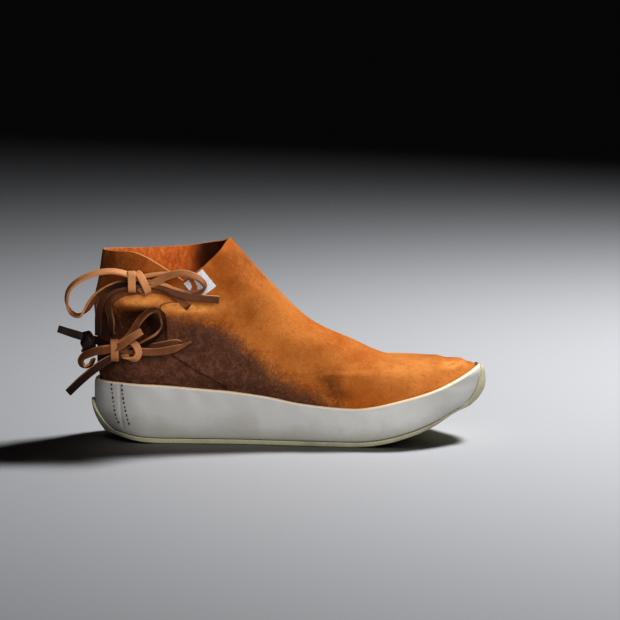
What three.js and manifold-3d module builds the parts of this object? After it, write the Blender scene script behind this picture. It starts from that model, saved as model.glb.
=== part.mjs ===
// A right-foot moccasin boot: a one-piece leather upper that wraps round the ankle and is tied at the
// outer side of the heel, a white rubber cup that holds its lower edge, and a crepe outsole that turns
// up in a tab at the toe and at the heel.
// Millimetres. +X points to the toe, +Y to the inner side of the foot and +Z up.
import * as THREE from "three";
import { mergeVertices } from "three/addons/utils/BufferGeometryUtils.js";
import Module from "manifold-3d";

const wasm = await Module();
wasm.setup();

// Overall sizes
const LENGTH = 300;
const BALL_WIDTH = 102;
const COLLAR_HEIGHT = 153;

// Sole
const CUP_HEIGHT = 46;
const CUP_WALL = 3.4;
const TOE_SPRING = 25;
const OUTSOLE_THICKNESS = 4;
const TAB_THICKNESS = 2;
const TOE_TAB_WIDTH = 64;
const HEEL_TAB_WIDTH = 52;
const HEEL_TAB_HEIGHT = 29;
const FOOTBED_RISE = 20;
const INSOLE_THICKNESS = 3;
const INSOLE_MARGIN = 1;

// Leather
const LEATHER = 2.2;
const COLLAR_DIP = { lateral: 24, medial: 7 };
const FLAP_STEP = 2.2;
const TAG = { length: 14.4, height: 13, thickness: 0.9, along: 0.284, up: 0.808, turn: -0.91 };
const THONG = { width: 6, thickness: 2 };
const SLOT = { length: 7.5, width: 3.2 };

const GAP = 0.3; // between pieces that touch

const AROUND = 28; // stations on each side, heel to toe
const COUNT = 2 * AROUND;

// Plan outline of the cup. along: share of the length; lateral, medial: shares of half the ball width.
const OUTLINE = [
  { along: 0.0, lateral: 0.66, medial: 0.66 },
  { along: 0.1, lateral: 0.71, medial: 0.69 },
  { along: 0.22, lateral: 0.73, medial: 0.69 },
  { along: 0.36, lateral: 0.77, medial: 0.65 },
  { along: 0.48, lateral: 0.85, medial: 0.7 },
  { along: 0.6, lateral: 0.95, medial: 0.84 },
  { along: 0.7, lateral: 1.0, medial: 0.97 },
  { along: 0.78, lateral: 0.98, medial: 1.0 },
  { along: 0.86, lateral: 0.88, medial: 0.98 },
  { along: 0.93, lateral: 0.75, medial: 0.9 },
  { along: 1.0, lateral: 0.62, medial: 0.8 },
];
const END_ROUND = { heel: 0.14, toe: 0.18 }; // shares of the length that the two end curves take

// Side profile of the sole. underside: share of the toe spring; lateral, medial: the cup's top edge,
// shares of the cup's height; bed: how thick the footbed is, share of its rise at the heel.
const PROFILE = [
  { along: 0.0, underside: 0.2, lateral: 0.99, medial: 0.99, bed: 1.0 },
  { along: 0.06, underside: 0.12, lateral: 1.0, medial: 1.0, bed: 1.0 },
  { along: 0.12, underside: 0.04, lateral: 0.99, medial: 0.99, bed: 1.0 },
  { along: 0.18, underside: 0.0, lateral: 0.975, medial: 0.97, bed: 1.0 },
  { along: 0.3, underside: 0.0, lateral: 0.915, medial: 0.92, bed: 0.92 },
  { along: 0.35, underside: 0.0, lateral: 0.89, medial: 0.9, bed: 0.86 },
  { along: 0.45, underside: 0.0, lateral: 0.81, medial: 0.83, bed: 0.74 },
  { along: 0.53, underside: 0.0, lateral: 0.715, medial: 0.75, bed: 0.62 },
  { along: 0.66, underside: 0.0, lateral: 0.65, medial: 0.68, bed: 0.48 },
  { along: 0.72, underside: 0.04, lateral: 0.68, medial: 0.7, bed: 0.44 },
  { along: 0.785, underside: 0.19, lateral: 0.765, medial: 0.77, bed: 0.42 },
  { along: 0.886, underside: 0.57, lateral: 0.925, medial: 0.925, bed: 0.4 },
  { along: 0.94, underside: 0.82, lateral: 1.05, medial: 1.05, bed: 0.4 },
  { along: 1.0, underside: 1.0, lateral: 1.22, medial: 1.22, bed: 0.4 },
];

// How far the cup's wall leans in from its widest outline, in millimetres, at the floor and at the top
// edge, and where between the two it is widest.
const LEAN = {
  side: { floor: 3.5, top: 1.4, widest: 0.4 },
  heel: { floor: 9.5, top: 0.8, widest: 0.62 },
  toe: { floor: 11, top: 2, widest: 0.6 },
};

// Sections of the upper above the cup. back, front: shares of the length; backUp, frontUp: shares of the
// collar height; rear, fore: its half-width as a share of the cup's at the same place; heel, toe: shares
// of the section where the two end curves meet the sides; sag: how far its sides drop, share of the
// collar height.
const SECTIONS = [
  // back, front, backUp, frontUp, rear, fore, heel, toe, sag
  [0.016, 0.952, 0.365, 0.382, 0.94, 0.86, 0.14, 0.5, 0.05],
  [0.016, 0.866, 0.45, 0.404, 0.93, 0.81, 0.17, 0.46, 0.062],
  [0.015, 0.757, 0.53, 0.411, 0.92, 0.79, 0.2, 0.53, 0.045],
  [0.0105, 0.66, 0.61, 0.49, 0.92, 0.8, 0.24, 0.48, 0.02],
  [0.009, 0.56, 0.69, 0.583, 0.92, 0.78, 0.28, 0.43, 0.005],
  [0.021, 0.455, 0.8, 0.775, 0.92, 0.78, 0.34, 0.42, 0],
  [0.034, 0.35, 0.943, 0.997, 0.95, 0.8, 0.42, 0.45, 0],
].map(([back, front, backUp, frontUp, rear, fore, heel, toe, sag]) => {
  return { back, front, backUp, frontUp, rear, fore, heel, toe, sag };
});
const LEVELS = 15; // rows of faces from the cup's edge to the collar
// Where the collar's lateral edge starts to drop and where it is lowest, shares of the top section.
const LOWEST = { from: 0.21, at: 0.52 };

// Soft swells (out above 0) and pulled-in places of the lateral side. along, up: the middle, shares of
// the length and the collar height; length, height: how far each reaches, shares of the same; out:
// millimetres.
const SWELLS = [
  { along: 0.13, up: 0.705, length: 0.11, height: 0.05, out: 4.5 },
  { along: 0.13, up: 0.8, length: 0.1, height: 0.035, out: -3 },
  { along: 0.12, up: 0.58, length: 0.1, height: 0.06, out: -2 },
];

// Free edge of the flap that laps over the back, from the collar's lowest point down to the cup. along,
// up: shares of the length and the collar height; raised: share of the step in the leather.
const FLAP_EDGE = [
  { along: 0.262, up: 0.79, raised: 0.3 },
  { along: 0.25, up: 0.755, raised: 1 },
  { along: 0.236, up: 0.715, raised: 1 },
  { along: 0.196, up: 0.705, raised: 1 },
  { along: 0.185, up: 0.683, raised: 1 },
  { along: 0.196, up: 0.65, raised: 1 },
  { along: 0.199, up: 0.53, raised: 1 },
  { along: 0.207, up: 0.463, raised: 1 },
  { along: 0.239, up: 0.414, raised: 1 },
  { along: 0.299, up: 0.345, raised: 0.9 },
  { along: 0.345, up: 0.3, raised: 0.4 },
];
const FLAP_REACH = 0.17; // share of the stations over which its step fades out towards the toe

// Slots that the thongs pass through. along, up: shares of the length and the collar height; turn:
// radians.
const SLOTS = [
  { along: 0.252, up: 0.69, turn: 0.9 },
  { along: 0.056, up: 0.535, turn: 0.1 },
  { along: 0.232, up: 0.5, turn: 1.4 },
  { along: 0.06, up: 0.41, turn: 1.2 },
];

// The straps that lie on the leather between the slots. lift: millimetres from the leather under the
// flap's step.
const UPPER_STRAP = [
  { along: 0.243, up: 0.712, lift: 3.2 },
  { along: 0.222, up: 0.745, lift: 3.2 },
  { along: 0.195, up: 0.768, lift: 3 },
  { along: 0.158, up: 0.775, lift: 2.6 },
  { along: 0.128, up: 0.768, lift: 2.4 },
  { along: 0.1, up: 0.755, lift: 2.4 },
  { along: 0.08, up: 0.732, lift: 2.2 },
  { along: 0.067, up: 0.7, lift: 2 },
  { along: 0.06, up: 0.655, lift: 1.8 },
  { along: 0.057, up: 0.6, lift: 1.6 },
  { along: 0.056, up: 0.56, lift: 1.6 },
];
const LOWER_STRAP = [
  { along: 0.222, up: 0.51, lift: 3.2 },
  { along: 0.195, up: 0.5, lift: 3.2 },
  { along: 0.16, up: 0.485, lift: 1 },
  { along: 0.12, up: 0.48, lift: 0.8 },
  { along: 0.08, up: 0.47, lift: 0.8 },
  { along: 0.045, up: 0.45, lift: 0.8 },
];

// The two bows. at: the knot's place on the leather; out: how far it stands off. Cord routes are
// millimetres from the knot: towards the toe, away from the leather, up. face: where the flat side of the
// thong looks at its start.
const UPPER_BOW = {
  at: { along: 0.131, up: 0.806, out: 11.5 },
  knots: [{ at: [0, 0, 0], size: [13, 9, 15] }],
  cords: {
    left_loop: {
      face: [0, 0.5, 1],
      route: [
        [0, 0, 2], [-14, 2, 7], [-26, 3, 8.5], [-36, 3, 6.5], [-45, 3, 0], [-51.5, 2, -7], [-53, 0, -15],
        [-50, -1, -22], [-44, -2, -25], [-39, -2, -20], [-33, -1, -10], [-23, 1, -3.5], [-12, 1, -1],
        [0, 0, 0],
      ],
    },
    right_loop: {
      face: [0, 0.5, 1],
      route: [
        [0, 0, -1], [10, 3, 0], [18, 5, 5], [27, 7, 8.5], [36, 8, 8], [45, 8, 4.5], [51, 7, -1.5],
        [51, 5, -6], [43, 5.5, -7], [32, 5, -4.6], [18, 3, -1], [0, 0, 0],
      ],
    },
    left_end: {
      face: [0, 1, 0.2],
      route: [
        [0, 0, -1], [-10, 0, -2], [-20, -0.5, -6], [-27, -3, -14.5], [-29.5, -4.5, -24], [-30, -5, -31],
        [-30, -5.5, -39],
      ],
    },
    right_end: {
      face: [0, 1, 0.3],
      route: [[0, 0, 0], [14, 2.5, -1], [25, 4.5, -4.6], [36, 5, -8.5], [48, 5, -11.3], [61, 5, -12.6]],
    },
  },
};
const LOWER_BOW = {
  at: { along: 0.113, up: 0.47, out: 8 },
  knots: [
    { at: [0, 0, 0], size: [12, 9, 10] },
    { at: [-16, -1, 2.5], size: [8, 8, 13] },
    { at: [-33, -15, 8], size: [12, 11, 13] },
  ],
  cords: {
    wide_loop: {
      face: [0.5, 0.3, -1],
      route: [
        [0, 0, 0], [14, 3, 6.5], [21.5, 5, 13], [24.5, 6, 21.5], [24, 7, 29], [20, 8, 33.5],
        [14, 8, 32.5], [7, 7, 28], [2, 6, 22], [-2, 4, 16], [-9, 1, 9], [-15, 0, 4],
      ],
    },
    leaf_end: {
      face: [0, 1, 0.4],
      route: [[0, 0, 1], [12, 1, -1], [22, 2, 0], [34, 3, 3], [46, 3, 9]],
    },
    short_end: {
      face: [-0.4, 1, 0.6],
      route: [[-15, 1, 5], [-8, 3, 10], [-1, 4, 14], [7, 5, 18], [13, 5, 21]],
    },
    heel_strand: {
      face: [0, 1, 0.3],
      route: [
        [0, 0, 0], [-10, 0, 2], [-18, -1, 2], [-27, -3, 0], [-36, -7, -2], [-40, -10, -8], [-38, -12, -14],
        [-32, -11, -14.5], [-28, -8, -8],
      ],
    },
    low_end: {
      face: [0, 1, 0.5],
      route: [[0, 0, -3], [-8, 1, -8], [-20, 1, -10], [-29, 1, -15], [-38, 1, -23], [-48, 0, -32]],
    },
    high_end: {
      face: [0, 1, 0.5],
      route: [[-16, -1, 4], [-24, -8, 8], [-33, -12, 8], [-41, -11, 11], [-48, -9, 15], [-55, -7, 18]],
    },
  },
};

const clamp = (x) => Math.min(1, Math.max(0, x));
const mix = (a, b, t) => a + (b - a) * t;
const ease = (a, b, x) => {
  const t = clamp((x - a) / (b - a));
  return t * t * (3 - 2 * t);
};

// The value of a table's column at a place along it, on a smooth curve through the rows.
function along(rows, column, at) {
  let i = 0;
  while (i < rows.length - 2 && rows[i + 1].along < at) i++;
  const [a, b] = [rows[i], rows[i + 1]];
  const slope = (j) => {
    const [p, q] = [rows[Math.max(0, j - 1)], rows[Math.min(rows.length - 1, j + 1)]];
    return (q[column] - p[column]) / (q.along - p.along);
  };
  const span = b.along - a.along;
  const t = clamp((at - a.along) / span);
  const [t2, t3] = [t * t, t * t * t];
  return (
    (2 * t3 - 3 * t2 + 1) * a[column] +
    (t3 - 2 * t2 + t) * span * slope(i) +
    (3 * t2 - 2 * t3) * b[column] +
    (t3 - t2) * span * slope(i + 1)
  );
}

// Stations run round the boot: up the lateral side from the heel to the toe, and back down the medial
// side. The share is how far along the boot, and stations stand closer at the two ends.
function station(k) {
  const i = ((k % COUNT) + COUNT) % COUNT;
  const lateral = i <= AROUND;
  const turn = (Math.PI * (lateral ? i : COUNT - i)) / AROUND;
  return { share: (1 - Math.cos(turn)) / 2, side: lateral ? "lateral" : "medial", sign: lateral ? -1 : 1 };
}

const ring = (point) => Array.from({ length: COUNT }, (_, k) => point(k));

function endRound(share) {
  const heel = share < END_ROUND.heel ? Math.sqrt(1 - (1 - share / END_ROUND.heel) ** 2) : 1;
  const toe = 1 - share < END_ROUND.toe ? Math.sqrt(1 - (1 - (1 - share) / END_ROUND.toe) ** 2) : 1;
  return heel * toe;
}

// The cup's widest plan outline at a station, moved inwards by a distance square to it.
const cupLength = LENGTH - 2 * (TAB_THICKNESS + GAP);
function outline(k, inwards) {
  const at = (j) => {
    const { share, side, sign } = station(j);
    const half = (BALL_WIDTH / 2) * along(OUTLINE, side, share) * endRound(share);
    return new THREE.Vector2((share - 0.5) * cupLength, sign * half);
  };
  const tangent = at(k + 0.5).sub(at(k - 0.5)).normalize();
  return at(k).add(new THREE.Vector2(-tangent.y, tangent.x).multiplyScalar(inwards));
}

const underside = (share) => TOE_SPRING * Math.max(0, along(PROFILE, "underside", share));
const plateTop = (share) => underside(share) + OUTSOLE_THICKNESS;
const bedTop = (share) => plateTop(share) + GAP + FOOTBED_RISE * along(PROFILE, "bed", share);
const cupTop = ({ share, side }) => CUP_HEIGHT * along(PROFILE, side, share);

// How far the wall leans in at a height share from the floor (0) to the cup's top edge (1).
function lean(k, height) {
  const { share } = station(k);
  const heel = 1 - ease(0, END_ROUND.heel, share);
  const toe = ease(1 - END_ROUND.toe, 1, share);
  const more = (end, name) => LEAN[end][name] - LEAN.side[name];
  const value = (name) => LEAN.side[name] + heel * more("heel", name) + toe * more("toe", name);
  const below = clamp(1 - height / value("widest"));
  const above = clamp((height - value("widest")) / (1 - value("widest")));
  return value("floor") * below ** 2 + value("top") * above ** 2;
}

// A point of the cup's outer wall at a height, moved inside the wall by a distance.
function wallPoint(k, height, inside = 0) {
  const s = station(k);
  const low = underside(s.share);
  const p = outline(k, lean(k, (height - low) / (cupTop(s) - low)) + inside);
  return new THREE.Vector3(p.x, p.y, height);
}

// A ring drawn in towards the line down its middle, at a height for each share of the length.
function drawnIn(outer, part, height) {
  return outer.map((p, k) => {
    const mirror = outer[(COUNT - k) % COUNT];
    const q = p.clone().lerp(p.clone().add(mirror).multiplyScalar(0.5), part);
    q.z = height(station(k).share);
    return q;
  });
}

// A closed solid from points and triangles, turned so that its faces point outwards.
function solid(points, faces) {
  const geometry = mergeVertices(new THREE.BufferGeometry().setFromPoints(points).setIndex(faces), 1e-4);
  const index = Array.from(geometry.index.array);
  const kept = [];
  for (let i = 0; i < index.length; i += 3) {
    const [a, b, c] = index.slice(i, i + 3);
    if (a !== b && b !== c && a !== c) kept.push(a, b, c);
  }
  const vertProperties = new Float32Array(geometry.attributes.position.array);
  const build = (triVerts) => new wasm.Manifold(new wasm.Mesh({ numProp: 3, vertProperties, triVerts }));
  const made = build(new Uint32Array(kept));
  return made.volume() > 0 ? made : build(new Uint32Array(kept).reverse());
}

function solidFromGeometry(geometry) {
  const corners = geometry.attributes.position;
  const corner = (_, i) => new THREE.Vector3().fromBufferAttribute(corners, i);
  return solid(Array.from({ length: corners.count }, corner), Array.from(geometry.index.array));
}

// A closed solid from a grid of points whose rows follow each other. A wrapped row joins its ends. Closed
// grids join the last row to the first one.
function solidFromRows(rows, { wrapped = true, closed = false } = {}) {
  const width = rows[0].length;
  const faces = [];
  for (let r = 0; r < (closed ? rows.length : rows.length - 1); r++)
    for (let k = 0; k < (wrapped ? width : width - 1); k++) {
      const next = ((r + 1) % rows.length) * width;
      const [a, b] = [r * width + k, r * width + ((k + 1) % width)];
      const [c, d] = [next + k, next + ((k + 1) % width)];
      faces.push(a, b, c, b, d, c);
    }
  return solid(rows.flat(), faces);
}

function toMesh(name, made, material) {
  const { vertProperties, triVerts } = made.getMesh();
  const geometry = new THREE.BufferGeometry();
  geometry.setAttribute("position", new THREE.BufferAttribute(new Float32Array(vertProperties), 3));
  geometry.setIndex(new THREE.BufferAttribute(new Uint32Array(triVerts), 1));
  geometry.computeVertexNormals();
  const mesh = new THREE.Mesh(geometry, material);
  mesh.name = name;
  return mesh;
}

// A slab between an outer and an inner sheet of points, both as rows of the same length.
function slab(outer, inner) {
  const rows = outer.map((row, r) => [...row, ...inner[r].slice().reverse()]);
  const folded = (row) => row.map((_, i) => row[Math.min(i, row.length - 1 - i)]);
  return solidFromRows([folded(rows[0]), ...rows, folded(rows[rows.length - 1])]);
}

// Tab of the outsole that turns up over the cup's wall. middle: its station; width and top: millimetres.
function tab(middle, width, top) {
  const across = 8;
  const stationAt = (t) => {
    let reach = 0;
    while (Math.abs(outline(middle + reach, 0).y) < (width / 2) * Math.abs(t)) reach += 0.05;
    return middle + Math.sign(t) * reach;
  };
  const steps = Array.from({ length: across + 1 }, (_, i) => (2 * i) / across - 1);
  const heights = [0, 0.25, 0.5, 0.75, 1];
  const sheet = (inside) =>
    steps.map((t) => {
      const k = stationAt(t);
      const { share } = station(k);
      const high = mix(top, plateTop(share) - 0.5, ease(0.12, 1, Math.abs(t)));
      return heights.map((h) => wallPoint(k, mix(underside(share), high, h), inside));
    });
  return slab(sheet(-(TAB_THICKNESS + GAP)), sheet(CUP_WALL / 2));
}

// Outsole: a crepe plate as wide as the cup, with a tab up the toe and a lower one up the heel.
function outsole() {
  const edge = ring((k) => wallPoint(k, plateTop(station(k).share)));
  const floor = ring((k) => wallPoint(k, underside(station(k).share)));
  const parts = [1, 0.65, 0.3];
  const top = parts.map((t) => drawnIn(edge, t, plateTop));
  const bottom = parts.map((t) => drawnIn(floor, t, underside)).reverse();
  const plate = solidFromRows([...top, edge, floor, ...bottom]);
  const toe = tab(AROUND, TOE_TAB_WIDTH, cupTop(station(AROUND)) - 1);
  const heel = tab(0, HEEL_TAB_WIDTH, HEEL_TAB_HEIGHT);
  return plate.add(toe.add(heel).subtract(cupBlock()));
}

// Outer wall of the cup as rings from its underside up, each moved out by a distance.
const cupUnder = (share) => plateTop(share) + GAP;
const cupWall = (out) =>
  [0, 0.2, 0.4, 0.6, 0.8, 1].map((t) =>
    ring((k) => wallPoint(k, mix(cupUnder(station(k).share), cupTop(station(k)), t), -out)),
  );

// The space that the cup fills, with a gap round it.
function cupBlock() {
  const wall = cupWall(GAP);
  const parts = [1, 0.65, 0.3];
  const below = parts.map((t) => drawnIn(wall[0], t, (share) => cupUnder(share) - GAP / 2));
  const lid = ring((k) => wall[wall.length - 1][k].clone().setZ(cupTop(station(k)) + CUP_HEIGHT / 4));
  const above = parts.map((t) => drawnIn(lid, t, () => 2 * CUP_HEIGHT)).reverse();
  return solidFromRows([...below, ...wall, lid, ...above]);
}

// Heights of the cup's inner wall from the footbed to the top edge, which the leather follows.
const WALL_STEPS = [0, 0.5, 1];
const insideHeight = (k, t) => mix(bedTop(station(k).share), cupTop(station(k)), t);

// Cup: the white wall and the footbed in one, open at the top.
function cup() {
  const wall = cupWall(0);
  const below = [1, 0.65, 0.3].map((t) => drawnIn(wall[0], t, cupUnder));
  const inner = WALL_STEPS.map((t) => ring((k) => wallPoint(k, insideHeight(k, t), CUP_WALL))).reverse();
  const bed = [0.3, 0.65, 1].map((t) => drawnIn(inner[inner.length - 1], t, bedTop));
  return solidFromRows([...below, ...wall, ...inner, ...bed]);
}

// Insole: a thin sock on the footbed, inside the leather.
function insole() {
  const inside = CUP_WALL + GAP + LEATHER + GAP + INSOLE_MARGIN;
  const low = (share) => bedTop(share) + GAP;
  const high = (share) => low(share) + INSOLE_THICKNESS;
  const bottom = ring((k) => wallPoint(k, low(station(k).share), inside));
  const top = bottom.map((p, k) => new THREE.Vector3(p.x, p.y, high(station(k).share)));
  const parts = [1, 0.65, 0.3];
  return solidFromRows([
    ...parts.map((t) => drawnIn(bottom, t, low)),
    bottom,
    top,
    ...parts.map((t) => drawnIn(top, t, high)).reverse(),
  ]);
}

// Upper: the outer face at a station of one of its sections.
function sectionPoint(row, k) {
  const { share, side, sign } = station(k);
  const x = mix(row.back, row.front, share);
  const z = mix(row.backUp, row.frontUp, share) - row.sag * Math.sin(Math.PI * share);
  const width = along(OUTLINE, side, x) * mix(row.rear, row.fore, ease(0.3, 0.7, x));
  const heel = Math.sqrt(1 - clamp(1 - share / row.heel) ** 2.2);
  const toe = Math.sqrt(1 - clamp((share - row.toe) / (1 - row.toe)) ** 2.2);
  return new THREE.Vector3(
    (x - 0.5) * LENGTH,
    (sign * BALL_WIDTH * width * heel * toe) / 2,
    z * COLLAR_HEIGHT,
  );
}

// The share of the way to the top section at which the collar's edge lies.
function collarLevel(k) {
  const { share, side } = station(k);
  const behind = clamp((share - LOWEST.from) / (LOWEST.at - LOWEST.from)) ** 1.7;
  const ahead = clamp((1 - share) / (1 - LOWEST.at));
  const drop = side === "lateral" ? Math.min(behind, ahead) : Math.sin(Math.PI * share) ** 0.6;
  const [below, top] = SECTIONS.slice(-2).map((row) => COLLAR_HEIGHT * mix(row.backUp, row.frontUp, share));
  return 1 - (drop * COLLAR_DIP[side]) / ((top - below) * SECTIONS.length);
}

function meridian(k) {
  const rim = wallPoint(k, cupTop(station(k)), CUP_WALL + GAP);
  const points = SECTIONS.map((row) => sectionPoint(row, k));
  return new THREE.CatmullRomCurve3([rim, ...points], false, "centripetal");
}

const smoothPoint = (k, level) => meridian(k).getPoint(clamp(level * collarLevel(k)));

function direction(k, level) {
  const up = smoothPoint(k, Math.min(1, level + 0.02)).sub(smoothPoint(k, Math.max(0, level - 0.02)));
  const on = smoothPoint(k + 0.25, level).sub(smoothPoint(k - 0.25, level));
  return on.cross(up).normalize();
}

function swell({ x, y, z }) {
  const bell = (row) => {
    const dx = (x / LENGTH + 0.5 - row.along) / row.length;
    const dz = (z / COLLAR_HEIGHT - row.up) / row.height;
    return row.out * Math.exp(-dx * dx - dz * dz);
  };
  const lateral = ease(0, BALL_WIDTH / 6, -y);
  return lateral * SWELLS.reduce((sum, row) => sum + bell(row), 0);
}

function leatherPoint(k, level, out = 0) {
  const p = smoothPoint(k, level);
  const fade = ease(0, 0.1, level);
  return p.clone().addScaledVector(direction(k, level), fade * swell(p) + out);
}

// The station and level on the lateral side whose point lies at shares of the length and the collar height.
function findPlace(alongShare, upShare) {
  const [x, z] = [(alongShare - 0.5) * LENGTH, upShare * COLLAR_HEIGHT];
  let [k, level, miss] = [AROUND / 2, 0.5, Infinity];
  for (let step = 0.25; step > 1e-4; ) {
    let better = false;
    for (const [dk, dl] of [[1, 0], [-1, 0], [0, 1], [0, -1]]) {
      const [kk, ll] = [k + dk * step * AROUND, clamp(level + dl * step)];
      if (kk < 0 || kk > AROUND) continue;
      const p = smoothPoint(kk, ll);
      const far = (p.x - x) ** 2 + (p.z - z) ** 2;
      if (far < miss) [k, level, miss, better] = [kk, ll, far, true];
    }
    if (!better) step /= 2;
  }
  return { k, level };
}

function lateralPoint(alongShare, upShare, out) {
  const { k, level } = findPlace(alongShare, upShare);
  return leatherPoint(k, level, out);
}

// The flap: a second thickness of leather whose step fades out towards the toe.
function flap() {
  const curve = new THREE.CatmullRomCurve3(
    FLAP_EDGE.map((row) => new THREE.Vector3(row.along, row.up, row.raised)),
    false,
    "centripetal",
  );
  const [rows, columns] = [18, 5];
  const edge = curve.getSpacedPoints(rows).map((p) => ({ ...findPlace(p.x, p.y), raised: clamp(p.z) }));
  const sheet = (out) =>
    edge.map(({ k, level, raised }) =>
      Array.from({ length: columns + 1 }, (_, j) => {
        const t = j / columns;
        return leatherPoint(k + t * FLAP_REACH * AROUND, level, out(raised, t));
      }),
    );
  const fade = (t) => 1 - ease(0.25, 1, t);
  return slab(
    sheet((raised, t) => mix(-0.3, FLAP_STEP * raised, fade(t))),
    sheet(() => -LEATHER / 2),
  );
}

// A slot right through the leather for a thong.
function slot({ along: alongShare, up, turn }) {
  const { k, level } = findPlace(alongShare, up);
  const box = new THREE.BoxGeometry(SLOT.length, SLOT.width, 4 * LEATHER);
  const upright = new THREE.Quaternion().setFromUnitVectors(new THREE.Vector3(0, 0, 1), direction(k, level));
  return solidFromGeometry(box.rotateZ(turn).applyQuaternion(upright).translate(...leatherPoint(k, level)));
}

// Upper: one hollow shell, open at the collar and underneath, with the flap as a step in its wall.
function upper() {
  const inside = CUP_WALL + GAP;
  const lower = WALL_STEPS.slice(0, -1).map((t) =>
    ring((k) => wallPoint(k, insideHeight(k, t) + (t === 0 ? GAP : 0), inside)),
  );
  const lowerInner = lower.map((row) => ring((k) => wallPoint(k, row[k].z, inside + LEATHER)));
  const levels = Array.from({ length: LEVELS + 1 }, (_, j) => j / LEVELS);
  const outer = [...lower, ...levels.map((v) => ring((k) => leatherPoint(k, v)))];
  const inner = [...lowerInner, ...levels.map((v) => ring((k) => leatherPoint(k, v, -LEATHER)))];
  const shell = solidFromRows([...outer.reverse(), ...inner], { closed: true });
  return SLOTS.reduce((body, row) => body.subtract(slot(row)), shell.add(flap()));
}

// Tag: a small blank label that lies on the flap below the collar.
function tag() {
  const steps = [-0.5, 0, 0.5];
  const sheet = (out) =>
    steps.map((u) =>
      steps.map((v) => {
        const [across, down] = [u * TAG.length, v * TAG.height];
        const dx = across * Math.cos(TAG.turn) - down * Math.sin(TAG.turn);
        const dz = across * Math.sin(TAG.turn) + down * Math.cos(TAG.turn);
        return lateralPoint(TAG.along + dx / LENGTH, TAG.up + dz / COLLAR_HEIGHT, out);
      }),
    );
  const rest = FLAP_STEP + GAP;
  return slab(sheet(rest + TAG.thickness), sheet(rest));
}

// Section of a thong, across its width and through its thickness: a flat strip with chamfered edges.
const FLAT = { across: 0.8, through: 0.4 };
const THONG_SECTION = [
  [1, -FLAT.through], [1, FLAT.through], [FLAT.across, 1], [-FLAT.across, 1],
  [-1, FLAT.through], [-1, -FLAT.through], [-FLAT.across, -1], [FLAT.across, -1],
].map(([across, through]) => [(across * THONG.width) / 2, (through * THONG.thickness) / 2]);

// A flat thong through places that follow each other. at: its middle; face: where its flat side looks.
function thong(places) {
  const last = places.length - 1;
  const rows = places.map(({ at, face }, i) => {
    const ahead = places[Math.min(i + 1, last)].at.clone().sub(places[Math.max(i - 1, 0)].at).normalize();
    const up = face.clone().addScaledVector(ahead, -face.dot(ahead)).normalize();
    const across = ahead.clone().cross(up);
    return THONG_SECTION.map(([a, t]) => at.clone().addScaledVector(across, a).addScaledVector(up, t));
  });
  const middle = (row) => row.reduce((sum, p) => sum.add(p), new THREE.Vector3()).divideScalar(row.length);
  const cap = (row) => row.map(() => middle(row));
  return solidFromRows([cap(rows[0]), ...rows, cap(rows[last])]);
}

// A thong that hangs free along a route, without twisting.
function freeThong(route, firstFace) {
  const curve = new THREE.CatmullRomCurve3(route, false, "centripetal");
  const steps = Math.ceil(curve.getLength() / (1.4 * THONG.width));
  const face = firstFace.clone();
  const places = Array.from({ length: steps + 1 }, (_, i) => {
    const ahead = curve.getTangentAt(i / steps);
    face.addScaledVector(ahead, -face.dot(ahead)).normalize();
    return { at: curve.getPointAt(i / steps), face: face.clone() };
  });
  return thong(places);
}

// A strap that lies on the leather from slot to slot.
function strap(rows) {
  const curve = new THREE.CatmullRomCurve3(rows.map((row) => new THREE.Vector3(row.along, row.up, row.lift)));
  const steps = 2 * rows.length;
  const places = Array.from({ length: steps + 1 }, (_, i) => {
    const p = curve.getPoint(i / steps);
    const { k, level } = findPlace(p.x, p.y);
    return { at: leatherPoint(k, level, p.z + THONG.thickness / 2), face: direction(k, level) };
  });
  return thong(places);
}

function knot(middle, [length, depth, height]) {
  const ball = new THREE.SphereGeometry(0.5, 8, 5);
  return solidFromGeometry(ball.scale(length, depth, height).translate(...middle));
}

// A bow: its knots, and each loop and end as a thong that leaves them.
function bow({ at, knots, cords }) {
  const middle = lateralPoint(at.along, at.up, at.out);
  const place = ([ahead, out, up]) => middle.clone().add(new THREE.Vector3(ahead, -out, up));
  const balls = knots.map((row) => knot(place(row.at), row.size));
  const strands = Object.values(cords).map(({ face, route }) => {
    const start = new THREE.Vector3(face[0], -face[1], face[2]);
    return freeThong(route.map(place), start);
  });
  return [...balls, ...strands].reduce((body, piece) => body.add(piece));
}

const leather = new THREE.MeshStandardMaterial({ color: 0xb5652b, roughness: 0.85, metalness: 0 });
const rubber = new THREE.MeshStandardMaterial({ color: 0xd9d8d2, roughness: 0.6, metalness: 0 });
const crepe = new THREE.MeshStandardMaterial({ color: 0xcfc9a6, roughness: 0.8, metalness: 0 });
const cloth = new THREE.MeshStandardMaterial({ color: 0xeeeeea, roughness: 0.8, metalness: 0 });
const lace = new THREE.MeshStandardMaterial({ color: 0x8f5a35, roughness: 0.7, metalness: 0 });
const lining = new THREE.MeshStandardMaterial({ color: 0x9a6a42, roughness: 0.9, metalness: 0 });

const boot = new THREE.Group();
boot.add(toMesh("outsole", outsole(), crepe));
boot.add(toMesh("cup", cup(), rubber));
boot.add(toMesh("insole", insole(), lining));
boot.add(toMesh("upper", upper(), leather));
boot.add(toMesh("tag", tag(), cloth));
boot.add(toMesh("upper_strap", strap(UPPER_STRAP), lace));
boot.add(toMesh("lower_strap", strap(LOWER_STRAP), lace));
boot.add(toMesh("upper_bow", bow(UPPER_BOW), lace));
boot.add(toMesh("lower_bow", bow(LOWER_BOW), lace));

export default boot;
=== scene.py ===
"""A right-foot moccasin boot of suede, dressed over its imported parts.

The pieces follow the part's own formulas: the cup's outline, the sections of the upper, the flap's free
edge and the routes of the bows are the same tables as in the part. Tables hold shares of the sizes or
millimetres; the meshes are in metres, with +X to the toe, +Y to the inner side of the foot, +Z up.
"""
from math import cos, pi, radians, sin

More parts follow.
